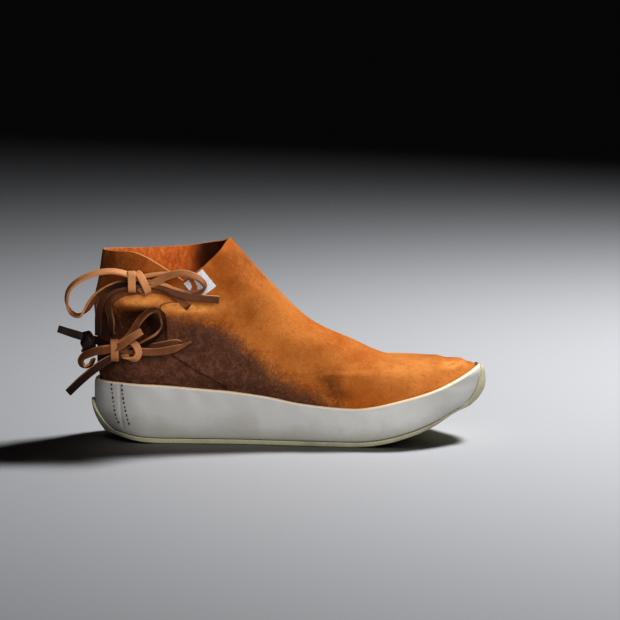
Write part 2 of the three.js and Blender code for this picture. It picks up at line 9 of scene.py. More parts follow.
import bpy
import numpy as np
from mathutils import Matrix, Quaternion, Vector


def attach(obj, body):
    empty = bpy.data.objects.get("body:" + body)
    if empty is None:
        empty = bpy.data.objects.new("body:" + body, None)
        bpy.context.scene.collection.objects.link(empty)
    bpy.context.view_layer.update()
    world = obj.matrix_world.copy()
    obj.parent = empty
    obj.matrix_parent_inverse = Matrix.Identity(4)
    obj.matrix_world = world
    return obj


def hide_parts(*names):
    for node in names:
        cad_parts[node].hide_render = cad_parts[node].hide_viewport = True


bl_info = {
    "name": "Moccasin boot",
    "version": (1, 0, 0),
    "blender": (4, 5, 0),
    "location": "3D View > Sidebar > Boot",
    "description": "Makes a suede moccasin boot with a rubber cup, a crepe outsole and two thong bows",
    "category": "Object",
}

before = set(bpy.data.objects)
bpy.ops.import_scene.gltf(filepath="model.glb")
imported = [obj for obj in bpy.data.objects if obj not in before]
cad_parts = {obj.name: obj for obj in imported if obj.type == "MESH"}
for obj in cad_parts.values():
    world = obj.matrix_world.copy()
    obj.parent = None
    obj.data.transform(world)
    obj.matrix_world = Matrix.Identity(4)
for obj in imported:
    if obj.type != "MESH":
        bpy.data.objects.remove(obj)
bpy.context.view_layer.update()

MM = 0.001
GAP = 0.3 * MM
MERGE = 1e-6

# Stations run round the boot's plan: 0 at the heel, AROUND at the toe, the outer side first.
AROUND = 28
COUNT = 2 * AROUND


def length(name, description, millimetres):
    return bpy.props.FloatProperty(
        name=name, description=description, default=millimetres * MM, min=0, unit="LENGTH", precision=4
    )


def angle(name, description, degrees):
    return bpy.props.FloatProperty(
        name=name, description=description, default=radians(degrees), subtype="ANGLE"
    )


def power(name, description, watts):
    return bpy.props.FloatProperty(name=name, description=description, default=watts, min=0, unit="POWER")


def colour(name, description, red, green, blue):
    return bpy.props.FloatVectorProperty(
        name=name, description=description, default=(red, green, blue), min=0, max=1, subtype="COLOR"
    )


class BootSizes(bpy.types.PropertyGroup):
    """Sizes of the boot."""

    length: length("Length", "Outsole from heel to toe", 300)
    ball_width: length("Ball width", "Widest part of the cup", 102)
    collar_height: length("Collar height", "Floor to the top of the collar", 153)
    cup_height: length("Cup height", "Floor to the top edge of the cup at the heel", 46)
    cup_wall: length("Cup wall", "Thickness of the cup's wall", 3.4)
    toe_spring: length("Toe spring", "How far the sole rises at the toe", 25)
    outsole: length("Outsole", "Thickness of the crepe", 4)
    tab: length("Tab", "Thickness of the tabs that turn up at the toe and the heel", 2)
    toe_tab: length("Toe tab width", "Width of the tab at the toe", 64)
    heel_tab: length("Heel tab width", "Width of the tab at the heel", 52)
    heel_tab_height: length("Heel tab height", "Floor to the top of the tab at the heel", 29)
    footbed: length("Footbed", "Thickness of the footbed at the heel", 20)
    insole: length("Insole", "Thickness of the insole", 3)
    leather: length("Leather", "Thickness of the upper's suede", 2.2)
    lateral_dip: length("Outer dip", "How far the collar drops on the outer side", 24)
    medial_dip: length("Inner dip", "How far the collar drops on the inner side", 7)
    thong_width: length("Thong width", "Width of the thongs", 6)
    thong: length("Thong thickness", "Thickness of the thongs", 2)


class BootColours(bpy.types.PropertyGroup):
    """Colours of the boot."""

    suede: colour("Suede", "Brushed suede in the light", 0.58, 0.23, 0.062)
    suede_deep: colour("Deep suede", "Suede where the dye is deeper", 0.4, 0.11, 0.014)
    stain: colour("Stain", "Worn brown of the heel's outer side", 0.105, 0.052, 0.036)
    cut: colour("Cut edge", "Cut edges of the leather", 0.62, 0.33, 0.15)
    lining: colour("Lining", "Flesh side inside the boot", 0.7, 0.22, 0.055)
    thong: colour("Thong", "Leather thongs", 0.2, 0.08, 0.036)
    thong_edge: colour("Thong edge", "Cut edges of the thongs", 0.72, 0.36, 0.165)
    cup: colour("Cup", "White rubber", 0.56, 0.55, 0.525)
    crepe: colour("Crepe", "Crepe rubber", 0.56, 0.53, 0.38)
    tag: colour("Tag", "Woven tape", 0.88, 0.91, 0.97)
    thread: colour("Thread", "Waxed thread", 0.05, 0.03, 0.025)
    floor: colour("Floor", "Studio floor", 0.6, 0.61, 0.635)


class BootStage(bpy.types.PropertyGroup):
    """View and light."""

    turn: angle("Turn", "Turn of the view about the upright", -0.9486)
    rise: angle("Rise", "How far the view looks down", 8.9144)
    distance: bpy.props.FloatProperty(
        name="Distance", description="Camera to the middle of the boot", default=2.9173, unit="LENGTH"
    )
    lens: bpy.props.FloatProperty(
        name="Lens", description="Focal length in millimetres", default=223.2, unit="CAMERA"
    )
    key: power("Key light", "Light above and behind the toe", 14)
    front: power("Front light", "Broader light in front, on the boot and not on the floor", 12)


def sizes():
    return bpy.context.scene.boot_sizes


def colours():
    return bpy.context.scene.boot_colours


def table(names, *rows):
    """A short table: its columns as arrays, by name."""
    return {name: np.array(column, float) for name, column in zip(names.split(), zip(*rows))}


# Plan outline of the cup: shares of half the ball width, along the length.
OUTLINE = table(
    "along lateral medial",
    (0.0, 0.66, 0.66),
    (0.1, 0.71, 0.69),
    (0.22, 0.73, 0.69),
    (0.36, 0.77, 0.65),
    (0.48, 0.85, 0.7),
    (0.6, 0.95, 0.84),
    (0.7, 1.0, 0.97),
    (0.78, 0.98, 1.0),
    (0.86, 0.88, 0.98),
    (0.93, 0.75, 0.9),
    (1.0, 0.62, 0.8),
)
END_ROUND = {"heel": 0.14, "toe": 0.18}

# Side profile of the sole: shares of the toe spring, of the cup's height and of the footbed.
PROFILE = table(
    "along underside lateral medial bed",
    (0.0, 0.2, 0.99, 0.99, 1.0),
    (0.06, 0.12, 1.0, 1.0, 1.0),
    (0.12, 0.04, 0.99, 0.99, 1.0),
    (0.18, 0.0, 0.975, 0.97, 1.0),
    (0.3, 0.0, 0.915, 0.92, 0.92),
    (0.35, 0.0, 0.89, 0.9, 0.86),
    (0.45, 0.0, 0.81, 0.83, 0.74),
    (0.53, 0.0, 0.715, 0.75, 0.62),
    (0.66, 0.0, 0.65, 0.68, 0.48),
    (0.72, 0.04, 0.68, 0.7, 0.44),
    (0.785, 0.19, 0.765, 0.77, 0.42),
    (0.886, 0.57, 0.925, 0.925, 0.4),
    (0.94, 0.82, 1.05, 1.05, 0.4),
    (1.0, 1.0, 1.22, 1.22, 0.4),
)

# How far the cup's wall leans in, in millimetres, and where it is widest.
LEAN = {
    "floor": {"side": 3.5, "heel": 9.5, "toe": 11.0},
    "top": {"side": 1.4, "heel": 0.8, "toe": 2.0},
    "widest": {"side": 0.4, "heel": 0.62, "toe": 0.6},
}

# Sections of the upper above the cup.
SECTIONS = table(
    "back front back_up front_up rear fore heel toe sag",
    (0.016, 0.952, 0.365, 0.382, 0.94, 0.86, 0.14, 0.5, 0.05),
    (0.016, 0.866, 0.45, 0.404, 0.93, 0.81, 0.17, 0.46, 0.062),
    (0.015, 0.757, 0.53, 0.411, 0.92, 0.79, 0.2, 0.53, 0.045),
    (0.0105, 0.66, 0.61, 0.49, 0.92, 0.8, 0.24, 0.48, 0.02),
    (0.009, 0.56, 0.69, 0.583, 0.92, 0.78, 0.28, 0.43, 0.005),
    (0.021, 0.455, 0.8, 0.775, 0.92, 0.78, 0.34, 0.42, 0),
    (0.034, 0.35, 0.943, 0.997, 0.95, 0.8, 0.42, 0.45, 0),
)
LOWEST = {"from": 0.21, "at": 0.52}

# Swells and pulled-in places of the outer side.
SWELLS = table(
    "along up length height out",
    (0.13, 0.705, 0.11, 0.05, 6.0),
    (0.13, 0.8, 0.1, 0.035, -3),
    (0.12, 0.58, 0.1, 0.06, -4.5),
)

# Free edge of the flap.
FLAP_EDGE = table(
    "along up",
    (0.262, 0.79),
    (0.25, 0.755),
    (0.236, 0.715),
    (0.196, 0.705),
    (0.185, 0.683),
    (0.196, 0.65),
    (0.199, 0.53),
    (0.207, 0.463),
    (0.239, 0.414),
    (0.299, 0.345),
    (0.345, 0.3),
)
FLAP_REACH = 0.17 * AROUND
UNDER_REACH = 0.5 * FLAP_REACH


def mix(a, b, t):
    return a + (b - a) * t


def ease(a, b, x):
    t = np.clip((np.asarray(x, float) - a) / (b - a), 0, 1)
    return t * t * (3 - 2 * t)


def along(rows, column, at, by="along"):
    """The value of a table's column at places along it, on a smooth curve through the rows."""
    x, y = rows[by], rows[column]
    at = np.asarray(at, float)
    i = np.clip(np.searchsorted(x, at) - 1, 0, len(x) - 2)
    before = np.maximum(np.arange(len(x)) - 1, 0)
    after = np.minimum(np.arange(len(x)) + 1, len(x) - 1)
    slope = (y[after] - y[before]) / (x[after] - x[before])
    span = x[i + 1] - x[i]
    t = np.clip((at - x[i]) / span, 0, 1)
    rise = (t ** 3 - 2 * t ** 2 + t) * slope[i] + (t ** 3 - t ** 2) * slope[i + 1]
    return mix(y[i], y[i + 1], t * t * (3 - 2 * t)) + span * rise


def curve_spans(points):
    """Ends of the spans of a smooth curve through points, with a point added before and after."""
    points = np.asarray(points, float)
    return np.concatenate([[2 * points[0] - points[1]], points, [2 * points[-1] - points[-2]]])


def on_span(p, t):
    """A place on the span between the middle two of four points of a smooth curve."""
    d = [np.sqrt(np.linalg.norm(b - a, axis=-1, keepdims=True)) for a, b in zip(p, p[1:])]
    start = ((p[1] - p[0]) / d[0] - (p[2] - p[0]) / (d[0] + d[1]) + (p[2] - p[1]) / d[1]) * d[1]
    end = ((p[2] - p[1]) / d[1] - (p[3] - p[1]) / (d[1] + d[2]) + (p[3] - p[2]) / d[2]) * d[1]
    bend = 3 * (p[2] - p[1]) - 2 * start - end
    return p[1] + start * t + bend * t ** 2 + (2 * (p[1] - p[2]) + start + end) * t ** 3


def smooth_route(points, step):
    """Places at even steps along a smooth curve through points."""
    ends = curve_spans(points)
    t = np.linspace(0, 1, 40, endpoint=False)[:, None]
    fine = [on_span(ends[i:i + 4], t) for i in range(len(points) - 1)]
    fine = np.concatenate([*fine, ends[-2:-1]])
    gone = np.concatenate([[0], np.cumsum(np.linalg.norm(np.diff(fine, axis=0), axis=1))])
    stops = np.linspace(0, gone[-1], max(3, round(gone[-1] / step) + 1))
    return np.stack([np.interp(stops, gone, fine[:, i]) for i in range(3)], -1)


def station(k):
    """How far along the boot a station is, and whether it is on the outer side."""
    i = np.mod(k, COUNT)
    lateral = i <= AROUND
    turn = np.pi * np.where(lateral, i, COUNT - i) / AROUND
    return (1 - np.cos(turn)) / 2, lateral


def sided(rows, lateral, at):
    return np.where(lateral, along(rows, "lateral", at), along(rows, "medial", at))


def end_round(share):
    heel = np.sqrt(1 - np.clip(1 - share / END_ROUND["heel"], 0, 1) ** 2)
    toe = np.sqrt(1 - np.clip(1 - (1 - share) / END_ROUND["toe"], 0, 1) ** 2)
    return heel * toe


def outline(k, inwards):
    """The cup's widest plan outline, moved inwards by a distance square to it."""
    s = sizes()

    def at(j):
        share, lateral = station(j)
        half = s.ball_width / 2 * sided(OUTLINE, lateral, share) * end_round(share)
        x = (share - 0.5) * (s.length - 2 * (s.tab + GAP))
        return np.stack([x, np.where(lateral, -half, half)], -1)

    tangent = at(k + 0.5) - at(k - 0.5)
    tangent /= np.linalg.norm(tangent, axis=-1, keepdims=True)
    square = np.stack([-tangent[..., 1], tangent[..., 0]], -1)
    return at(k) + square * np.asarray(inwards)[..., None]


def underside(share):
    return sizes().toe_spring * np.maximum(0, along(PROFILE, "underside", share))


def plate_top(share):
    return underside(share) + sizes().outsole


def bed_top(share):
    return plate_top(share) + GAP + sizes().footbed * along(PROFILE, "bed", share)


def cup_top(k):
    share, lateral = station(k)
    return sizes().cup_height * sided(PROFILE, lateral, share)


def lean(k, height):
    """How far the wall leans in, at a share of the height from the floor to its top edge."""
    share, _ = station(k)
    heel, toe = 1 - ease(0, END_ROUND["heel"], share), ease(1 - END_ROUND["toe"], 1, share)
    floor, top, widest = (
        row["side"] + heel * (row["heel"] - row["side"]) + toe * (row["toe"] - row["side"])
        for row in (LEAN["floor"], LEAN["top"], LEAN["widest"])
    )
    below = np.clip(1 - height / widest, 0, 1)
    above = np.clip((height - widest) / (1 - widest), 0, 1)
    return (floor * below ** 2 + top * above ** 2) * MM


def wall_point(k, height, inside=0.0):
    """A point of the cup's outer wall at a height, moved inside the wall by a distance."""
    k, height, inside = np.broadcast_arrays(k, height, inside)
    low = underside(station(k)[0])
    p = outline(k, lean(k, (height - low) / (cup_top(k) - low)) + inside)
    return np.concatenate([p, height[..., None]], -1)


def section_points(k):
    """Where each section of the upper passes a station."""
    s = sizes()
    share, lateral = station(k)
    points = []
    for back, front, back_up, front_up, rear, fore, heel, toe, sag in zip(*SECTIONS.values()):
        x = mix(back, front, share)
        width = sided(OUTLINE, lateral, x) * mix(rear, fore, ease(0.3, 0.7, x))
        ends = np.sqrt(1 - np.clip(1 - share / heel, 0, 1) ** 2.2)
        ends = ends * np.sqrt(1 - np.clip((share - toe) / (1 - toe), 0, 1) ** 2.2)
        y = np.where(lateral, -1, 1) * s.ball_width / 2 * width * ends
        z = (mix(back_up, front_up, share) - sag * np.sin(np.pi * share)) * s.collar_height
        points.append(np.stack([(x - 0.5) * s.length, y, z], -1))
    return points


def collar_level(k):
    """The share of the way to the top section at which the collar's edge lies."""
    s = sizes()
    share, lateral = station(k)
    behind = np.clip((share - LOWEST["from"]) / (LOWEST["at"] - LOWEST["from"]), 0, 1) ** 1.7
    ahead = np.clip((1 - share) / (1 - LOWEST["at"]), 0, 1)
    drop = np.where(
        lateral,
        np.minimum(behind, ahead) * s.lateral_dip,
        np.abs(np.sin(np.pi * share)) ** 0.6 * s.medial_dip,
    )
    below, top = (mix(SECTIONS["back_up"][i], SECTIONS["front_up"][i], share) for i in (-2, -1))
    return 1 - drop / ((top - below) * s.collar_height * len(SECTIONS["back"]))


def smooth_point(k, level):
    """The upper before its swells: on a smooth curve from the cup's rim through the sections."""
    k, level = np.broadcast_arrays(np.asarray(k, float), np.asarray(level, float))
    rim = wall_point(k, cup_top(k), sizes().cup_wall + GAP)
    points = curve_spans([rim, *section_points(k)])
    last = len(points) - 3
    place = np.clip(level * collar_level(k), 0, 1) * last
    i = np.minimum(place.astype(int), last - 1)
    p = [np.take_along_axis(points, (i + j)[None, ..., None], 0)[0] for j in range(4)]
    return on_span(p, (place - i)[..., None])


def direction(k, level):
    """Which way the leather faces."""
    level = np.asarray(level, float)
    up = smooth_point(k, np.minimum(1, level + 0.02)) - smooth_point(k, np.maximum(0, level - 0.02))
    on = smooth_point(np.asarray(k) + 0.25, level) - smooth_point(np.asarray(k) - 0.25, level)
    square = np.cross(on, up)
    return square / np.linalg.norm(square, axis=-1, keepdims=True)


def swell(p):
    s = sizes()
    out = 0
    for a, u, reach, height, rise in zip(*SWELLS.values()):
        dx = (p[..., 0] / s.length + 0.5 - a) / reach
        dz = (p[..., 2] / s.collar_height - u) / height
        out = out + rise * MM * np.exp(-dx * dx - dz * dz)
    return out * ease(0, s.ball_width / 6, -p[..., 1])


def leather_point(k, level, out=0.0):
    p = smooth_point(k, level)
    rise = ease(0, 0.1, level) * swell(p) + out
    return p + direction(k, level) * rise[..., None]


# How finely the places on one side are tried, and how often each is then improved.
PLACES = {"stations": 225, "levels": 101, "steps": 6}


def place_grid(side):
    """Stations and levels over one side, and where each lies."""
    stations, levels = np.linspace(0, AROUND, PLACES["stations"]), np.linspace(0, 1, PLACES["levels"])
    k, level = np.meshgrid(stations, levels)
    k, level = side * k.ravel(), level.ravel()
    return k, level, smooth_point(k, level)[:, ::2]


def find_places(along_share, up_share, side=1):
    """Stations and levels on one side (outer 1, inner -1) at shares of the length and height."""
    s = sizes()
    want = np.stack([(np.ravel(along_share) - 0.5) * s.length, np.ravel(up_share) * s.collar_height], -1)
    k, level, at = place_grid(side)
    nearest = [int(np.argmin(np.sum((at - place) ** 2, -1))) for place in want]
    k, level = k[nearest], level[nearest]
    for _ in range(PLACES["steps"]):
        miss = want - smooth_point(k, level)[:, ::2]
        by_k = (smooth_point(k + 0.01, level) - smooth_point(k - 0.01, level))[:, ::2] / 0.02
        low, high = np.maximum(0, level - 0.002), np.minimum(1, level + 0.002)
        by_level = (smooth_point(k, high) - smooth_point(k, low))[:, ::2] / (high - low)[:, None]
        det = by_k[:, 0] * by_level[:, 1] - by_k[:, 1] * by_level[:, 0]
        det = np.where(np.abs(det) < 1e-9, 1e-9, det)
        k = k + np.clip((miss[:, 0] * by_level[:, 1] - miss[:, 1] * by_level[:, 0]) / det, -0.1, 0.1)
        level = level + np.clip((by_k[:, 0] * miss[:, 1] - by_k[:, 1] * miss[:, 0]) / det, -0.01, 0.01)
        k = side * np.clip(side * k, 0, AROUND)
        level = np.clip(level, 0, 1)
    return k, level


# Meshes.

def clear():
    bpy.ops.object.select_all(action="DESELECT")


def laid_grid(name, points):
    """A grid primitive laid through rows of points."""
    rows, columns = points.shape[:2]
    clear()
    bpy.ops.mesh.primitive_grid_add(x_subdivisions=columns - 1, y_subdivisions=rows - 1, size=1)
    piece = bpy.context.object
    piece.name = piece.data.name = name
    piece.data.vertices.foreach_set("co", np.ascontiguousarray(points, float).reshape(-1))
    piece.data.update()
    return piece


def give(piece, name, values):
    """A number for each point of a mesh, for its material."""
    layer = piece.data.attributes.new(name, "FLOAT", "POINT")
    layer.data.foreach_set("value", np.asarray(values, float).reshape(-1))


def edit(piece, *steps):
    """Runs mesh operators on the whole of a piece."""
    clear()
    piece.select_set(True)
    bpy.context.view_layer.objects.active = piece
    bpy.ops.object.mode_set(mode="EDIT")
    bpy.ops.mesh.select_all(action="SELECT")
    for operator, settings in steps:
        operator(**settings)
    bpy.ops.object.mode_set(mode="OBJECT")


def closed(piece):
    """Joins the seams and poles of a laid grid and turns its faces outwards."""
    edit(
        piece,
        (bpy.ops.mesh.remove_doubles, {"threshold": MERGE}),
        (bpy.ops.mesh.normals_make_consistent, {"inside": False}),
    )
    return piece


def modified(piece, kind, **settings):
    """A modifier, applied."""
    clear()
    piece.select_set(True)
    bpy.context.view_layer.objects.active = piece
    bpy.ops.object.modifier_add(type=kind)
    modifier = piece.modifiers[-1]
    for name, value in settings.items():
        setattr(modifier, name, value)
    bpy.ops.object.modifier_apply(modifier=modifier.name)
    return piece


def smooth(piece, degrees=40):
    clear()
    piece.select_set(True)
    bpy.context.view_layer.objects.active = piece
    bpy.ops.object.shade_smooth_by_angle(angle=radians(degrees))
    return piece


def finished(piece, slot, *materials, replaces=()):
    """Gives a piece its materials, and its place in the frame."""
    for material in materials:
        piece.data.materials.append(material)
    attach(piece, "root")
    if replaces:
        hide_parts(*replaces)
    return piece


# Materials.

class Varying:
    """A value that varies over a surface, for use in ordinary sums."""

    def __init__(self, finish, socket):
        self.finish, self.socket = finish, socket

    def math(self, operation, *values):
        return self.finish.node("ShaderNodeMath", {"operation": operation}, values)

    def __add__(self, other):
        return self.math("ADD", self, other)

    def __radd__(self, other):
        return self.math("ADD", other, self)

    def __sub__(self, other):
        return self.math("SUBTRACT", self, other)

    def __rsub__(self, other):
        return self.math("SUBTRACT", other, self)

    def __mul__(self, other):
        return self.math("MULTIPLY", self, other)

    def __rmul__(self, other):
        return self.math("MULTIPLY", other, self)


class Finish:
    """A material, made from its nodes."""

    def __init__(self, name):
        self.material = bpy.data.materials.new(name)
        self.material.use_nodes = True
        self.tree = self.material.node_tree
        self.shader = self.tree.nodes["Principled BSDF"]

    def put(self, socket, value):
        if isinstance(value, Varying):
            self.tree.links.new(value.socket, socket)
        elif hasattr(socket.default_value, "__len__") and len(socket.default_value) == 4:
            socket.default_value = (*value[:3], 1)
        else:
            socket.default_value = value

    def node(self, kind, settings=None, values=(), output=0):
        node = self.tree.nodes.new(kind)
        for name, value in (settings or {}).items():
            setattr(node, name, value)
        pairs = values.items() if isinstance(values, dict) else enumerate(values)
        for key, value in pairs:
            self.put(node.inputs[key], value)
        return Varying(self, node.outputs[output])

    def place(self):
        """Where the point is on the boot, in metres."""
        return self.node("ShaderNodeTexCoord", output="Object")

    def painted(self, name):
        return self.node("ShaderNodeAttribute", {"attribute_name": name}, output="Fac")

    def stretched(self, scale, turn=(0, 0, 0)):
        settings = {"Vector": self.place(), "Rotation": turn, "Scale": scale}
        return self.node("ShaderNodeMapping", {"vector_type": "TEXTURE"}, settings)

    def noise(self, scale, detail=2.0, rough=0.5, at=None):
        values = {"Vector": at or self.place(), "Scale": scale, "Detail": detail, "Roughness": rough}
        return self.node("ShaderNodeTexNoise", {}, values)

    def between(self, value, low, high, new_low=0.0, new_high=1.0):
        """A value eased from one range to another, and held at its ends."""
        settings = {"interpolation_type": "SMOOTHSTEP"}
        return self.node("ShaderNodeMapRange", settings, (value, low, high, new_low, new_high))

    def blend(self, amount, a, b):
        """From one colour to another by an amount."""
        return self.node("ShaderNodeMix", {"data_type": "RGBA"}, {0: amount, 6: a, 7: b}, 2)

    def bump(self, height, distance, strength=1.0, before=None):
        values = {"Strength": strength, "Distance": distance, "Height": height}
        if before:
            values["Normal"] = before
        return self.node("ShaderNodeBump", {}, values)

    def shade(self, **values):
        for name, value in values.items():
            socket = name.replace("_", " ").title().replace("Ior", "IOR")
            self.put(self.shader.inputs[socket], value)
        return self.material


# Second shades of the finishes, beside the colours that can be set.
SHADES = {
    # rubbed leather, and painted highlights on the swell and the flap's band
    "rubbed_and_highlit": (0.98, 0.46, 0.155),
    "stain_worn": (0.19, 0.092, 0.06),
    # smudges, and painted shade in the hollow under the swell
    "smudge_and_shade": (0.06, 0.02, 0.01),
    "nap": (0.8, 0.38, 0.15),
    "stained_nap": (0.4, 0.23, 0.15),
    "speck": (0.09, 0.022, 0.006),
    "lining_light": (0.95, 0.38, 0.12),
    "lining_cloud": (0.2, 0.045, 0.02),
    # painted shade in the lining's front corner
    "lining_corner_shade": (0.035, 0.014, 0.01),
    "cut_deep": (0.36, 0.16, 0.06),
    "thong_cloud": (0.32, 0.135, 0.06),
    "thong_tan": (0.66, 0.33, 0.155),
    # oiled leather, and painted shade towards the heel ends
    "thong_oil_and_shade": (0.022, 0.01, 0.007),
    "thong_oil_and_shade_edge": (0.025, 0.012, 0.008),
    "thong_grain": (0.12, 0.05, 0.025),
    "cup_cloud": (0.47, 0.455, 0.43),
    "cup_low": (0.42, 0.395, 0.35),
    "cup_speck": (0.35, 0.32, 0.28),
    "cup_rim": (0.9, 0.74, 0.55),
    "crepe_light": (0.7, 0.66, 0.48),
    "crepe_cloud": (0.36, 0.33, 0.24),
    "insole": (0.36, 0.19, 0.09),
    "insole_worn": (0.2, 0.095, 0.045),
    "tag_weave": (0.7, 0.73, 0.8),
    "thread_twist": (0.1, 0.06, 0.04),
}
MATT = 0.95
DULL = 0.15


def suede_finish():
    """Brushed suede with uneven dye, a worn brown heel side, smudges and rubs; the smudges also paint shade
    in the hollow under the swell, and the rubs paint highlights on the swell and the flap's band.
    """
    f, c = Finish("suede"), colours()
    broad, patch, mottle = f.noise(14, 3), f.noise(60, 4, 0.6), f.noise(190, 4, 0.65)
    grain, fleck = f.noise(620, 3, 0.7), f.noise(380, 3, 0.75)
    streak = f.noise(120, 3, 0.6, f.stretched((1, 1, 4), (0, radians(35), 0)))
    stain, rub_and_highlight = f.painted("stain"), f.painted("rub_and_highlight")
    deep = f.between(broad * 0.45 + patch * 0.3 + streak * 0.25, 0.4, 0.62)
    base = f.blend(deep * 0.7, c.suede, c.suede_deep)
    base = f.blend(f.between(mottle, 0.5, 0.7, 0, 0.35), base, c.suede_deep)
    # Rubbed places, and painted highlights on the swell and the flap's band.
    base = f.blend(rub_and_highlight * f.between(mottle, 0.2, 0.65, 0.25, 1), base, SHADES["rubbed_and_highlit"])
    ragged = stain + (patch - 0.5) * 0.6 + (mottle - 0.5) * 1.0 + (fleck - 0.5) * 0.5
    worn = f.blend(f.between(mottle, 0.4, 0.65), c.stain, SHADES["stain_worn"])
    base = f.blend(f.between(ragged, 0.15, 0.95, 0, 0.97), base, worn)
    # Smudges, and painted shade in the hollow under the swell.
    smudge_and_shade = f.painted("smudge_and_shade") * f.between(patch + mottle * 0.6, 0.55, 0.95, 0.6, 1)
    base = f.blend(smudge_and_shade, base, SHADES["smudge_and_shade"])
    nap = f.blend(f.between(stain, 0.3, 0.8), SHADES["nap"], SHADES["stained_nap"])
    base = f.blend(f.between(grain, 0.55, 0.72, 0, 0.3), base, nap)
    specks = f.between(grain + fleck * 0.5, 0.72, 0.52, 0, 0.6)
    base = f.blend(specks * f.between(stain, 0, 0.5, 0.2, 1), base, SHADES["speck"])
    normal = f.bump(grain * 0.6 + fleck * 0.4, 0.6 * MM, 0.7)
    normal = f.bump(patch + mottle * 0.3, 1.6 * MM, 0.4, normal)
    return f.shade(base_color=base, roughness=MATT, normal=normal, specular_ior_level=DULL)


def lining_finish():
    """Flesh side of the suede, brushed upright, with painted shade in its front corner."""
    f, c = Finish("lining"), colours()
    brush = f.noise(420, 4, 0.7, f.stretched((1, 1, 2.2)))
    cloud = f.noise(35, 3)
    base = f.blend(f.between(brush, 0.35, 0.7), c.lining, SHADES["lining_light"])
    base = f.blend(f.between(cloud, 0.45, 0.7, 0, 0.6), base, SHADES["lining_cloud"])
    # Painted shade in the lining's front corner.
    corner_shade = f.between(f.painted("corner_shade") + (brush - 0.5) * 0.3, 0.2, 0.9, 0, 0.9)
    base = f.blend(corner_shade, base, SHADES["lining_corner_shade"])
    normal = f.bump(brush, 0.6 * MM, 0.6)
    return f.shade(base_color=base, roughness=MATT, normal=normal, specular_ior_level=DULL)


def cut_finish():
    """Cut edge of the leather, where the fibres show."""
    f, c = Finish("cut_edge"), colours()
    fibre = f.noise(1400, 3, 0.7)
    base = f.blend(f.between(fibre, 0.35, 0.7), c.cut, SHADES["cut_deep"])
    return f.shade(base_color=base, roughness=MATT, normal=f.bump(fibre, 0.3 * MM, 0.6))


def thong_finish():
    """Thong: tan where it is dry, nearly black where oil and painted shade darken it, with pale fibrous
    edges.
    """
    f, c = Finish("thong"), colours()
    edge, oil_and_shade = f.painted("edge"), f.painted("oil_and_shade")
    cloud, grain = f.noise(90, 3), f.noise(1500, 3, 0.6)
    base = f.blend(f.between(cloud, 0.35, 0.7), c.thong, SHADES["thong_cloud"])
    dry = f.between(oil_and_shade + (cloud - 0.5) * 0.4, 0, -0.9, 0, 1)
    base = f.blend(dry, base, SHADES["thong_tan"])
    # Oil and painted shade, nearly black towards the heel ends.
    dark = f.between(oil_and_shade + (cloud - 0.5) * 0.3, 0, 0.9, 0, 0.95)
    base = f.blend(dark, base, SHADES["thong_oil_and_shade"])
    frayed = edge + (grain - 0.5) * 0.5 + (cloud - 0.5) * 0.8
    base = f.blend(f.between(frayed, 0.25, 0.85, 0, 0.85), base, c.thong_edge)
    base = f.blend(f.between(oil_and_shade, 0.7, 1.1, 0, 0.93), base, SHADES["thong_oil_and_shade_edge"])
    base = f.blend(f.between(grain, 0.6, 0.8, 0, 0.4), base, SHADES["thong_grain"])
    rough = f.between(cloud, 0.3, 0.7, 0.5, 0.7)
    normal = f.bump(grain + cloud * 0.5, 0.3 * MM, 0.5)
    return f.shade(base_color=base, roughness=rough, normal=normal, specular_ior_level=0.25)


def cup_finish():
    """White rubber, a little greyer towards the floor."""
    f, c = Finish("cup_rubber"), colours()
    cloud, speck = f.noise(40, 4, 0.6), f.noise(600, 3, 0.6)
    base = f.blend(f.between(cloud, 0.4, 0.7, 0, 0.35), c.cup, SHADES["cup_cloud"])
    low = f.between(f.painted("low") + (cloud - 0.5) * 0.9, 0.45, 0.95, 0, 0.5)
    base = f.blend(low, base, SHADES["cup_low"])
    base = f.blend(f.between(speck, 0.66, 0.74, 0, 0.3), base, SHADES["cup_speck"])
    base = f.blend(f.painted("rim"), base, SHADES["cup_rim"])
    normal = f.bump(speck, 0.15 * MM, 0.4)
    normal = f.bump(f.noise(28, 2), 2.5 * MM, 0.45, normal)
    return f.shade(base_color=base, roughness=f.between(cloud, 0.3, 0.7, 0.42, 0.6), normal=normal)


def crepe_finish():
    """Crepe: crumbly raw rubber."""
    f, c = Finish("crepe"), colours()
    crumb, cloud = f.noise(1100, 4, 0.75), f.noise(60, 3)
    base = f.blend(f.between(crumb, 0.4, 0.7), c.crepe, SHADES["crepe_light"])
    base = f.blend(f.between(cloud, 0.45, 0.75, 0, 0.5), base, SHADES["crepe_cloud"])
    return f.shade(base_color=base, roughness=0.85, normal=f.bump(crumb, 0.6 * MM, 0.8))


def insole_finish():
    """Smooth leather, worn dark under the foot."""
    f = Finish("insole_leather")
    cloud, grain = f.noise(30, 3), f.noise(900, 3)
    base = f.blend(f.between(cloud, 0.35, 0.7), SHADES["insole"], SHADES["insole_worn"])
    return f.shade(base_color=base, roughness=0.6, normal=f.bump(grain, 0.2 * MM, 0.4))


def tag_finish():
    """Plain woven tape."""
    f, c = Finish("tag_cloth"), colours()
    weave = f.noise(1500, 2, 0.5, f.stretched((1, 1, 4)))
    base = f.blend(f.between(weave, 0.3, 0.7), c.tag, SHADES["tag_weave"])
    return f.shade(base_color=base, roughness=0.8, normal=f.bump(weave, 0.2 * MM, 0.5))


def thread_finish():
    """Waxed thread."""
    f, c = Finish("thread"), colours()
    twist = f.noise(2500, 2)
    return f.shade(base_color=f.blend(twist, c.thread, SHADES["thread_twist"]), roughness=0.55)


def floor_finish():
    """Pale, plain and matt."""
    f, c = Finish("floor"), colours()
    return f.shade(base_color=c.floor, roughness=0.7)


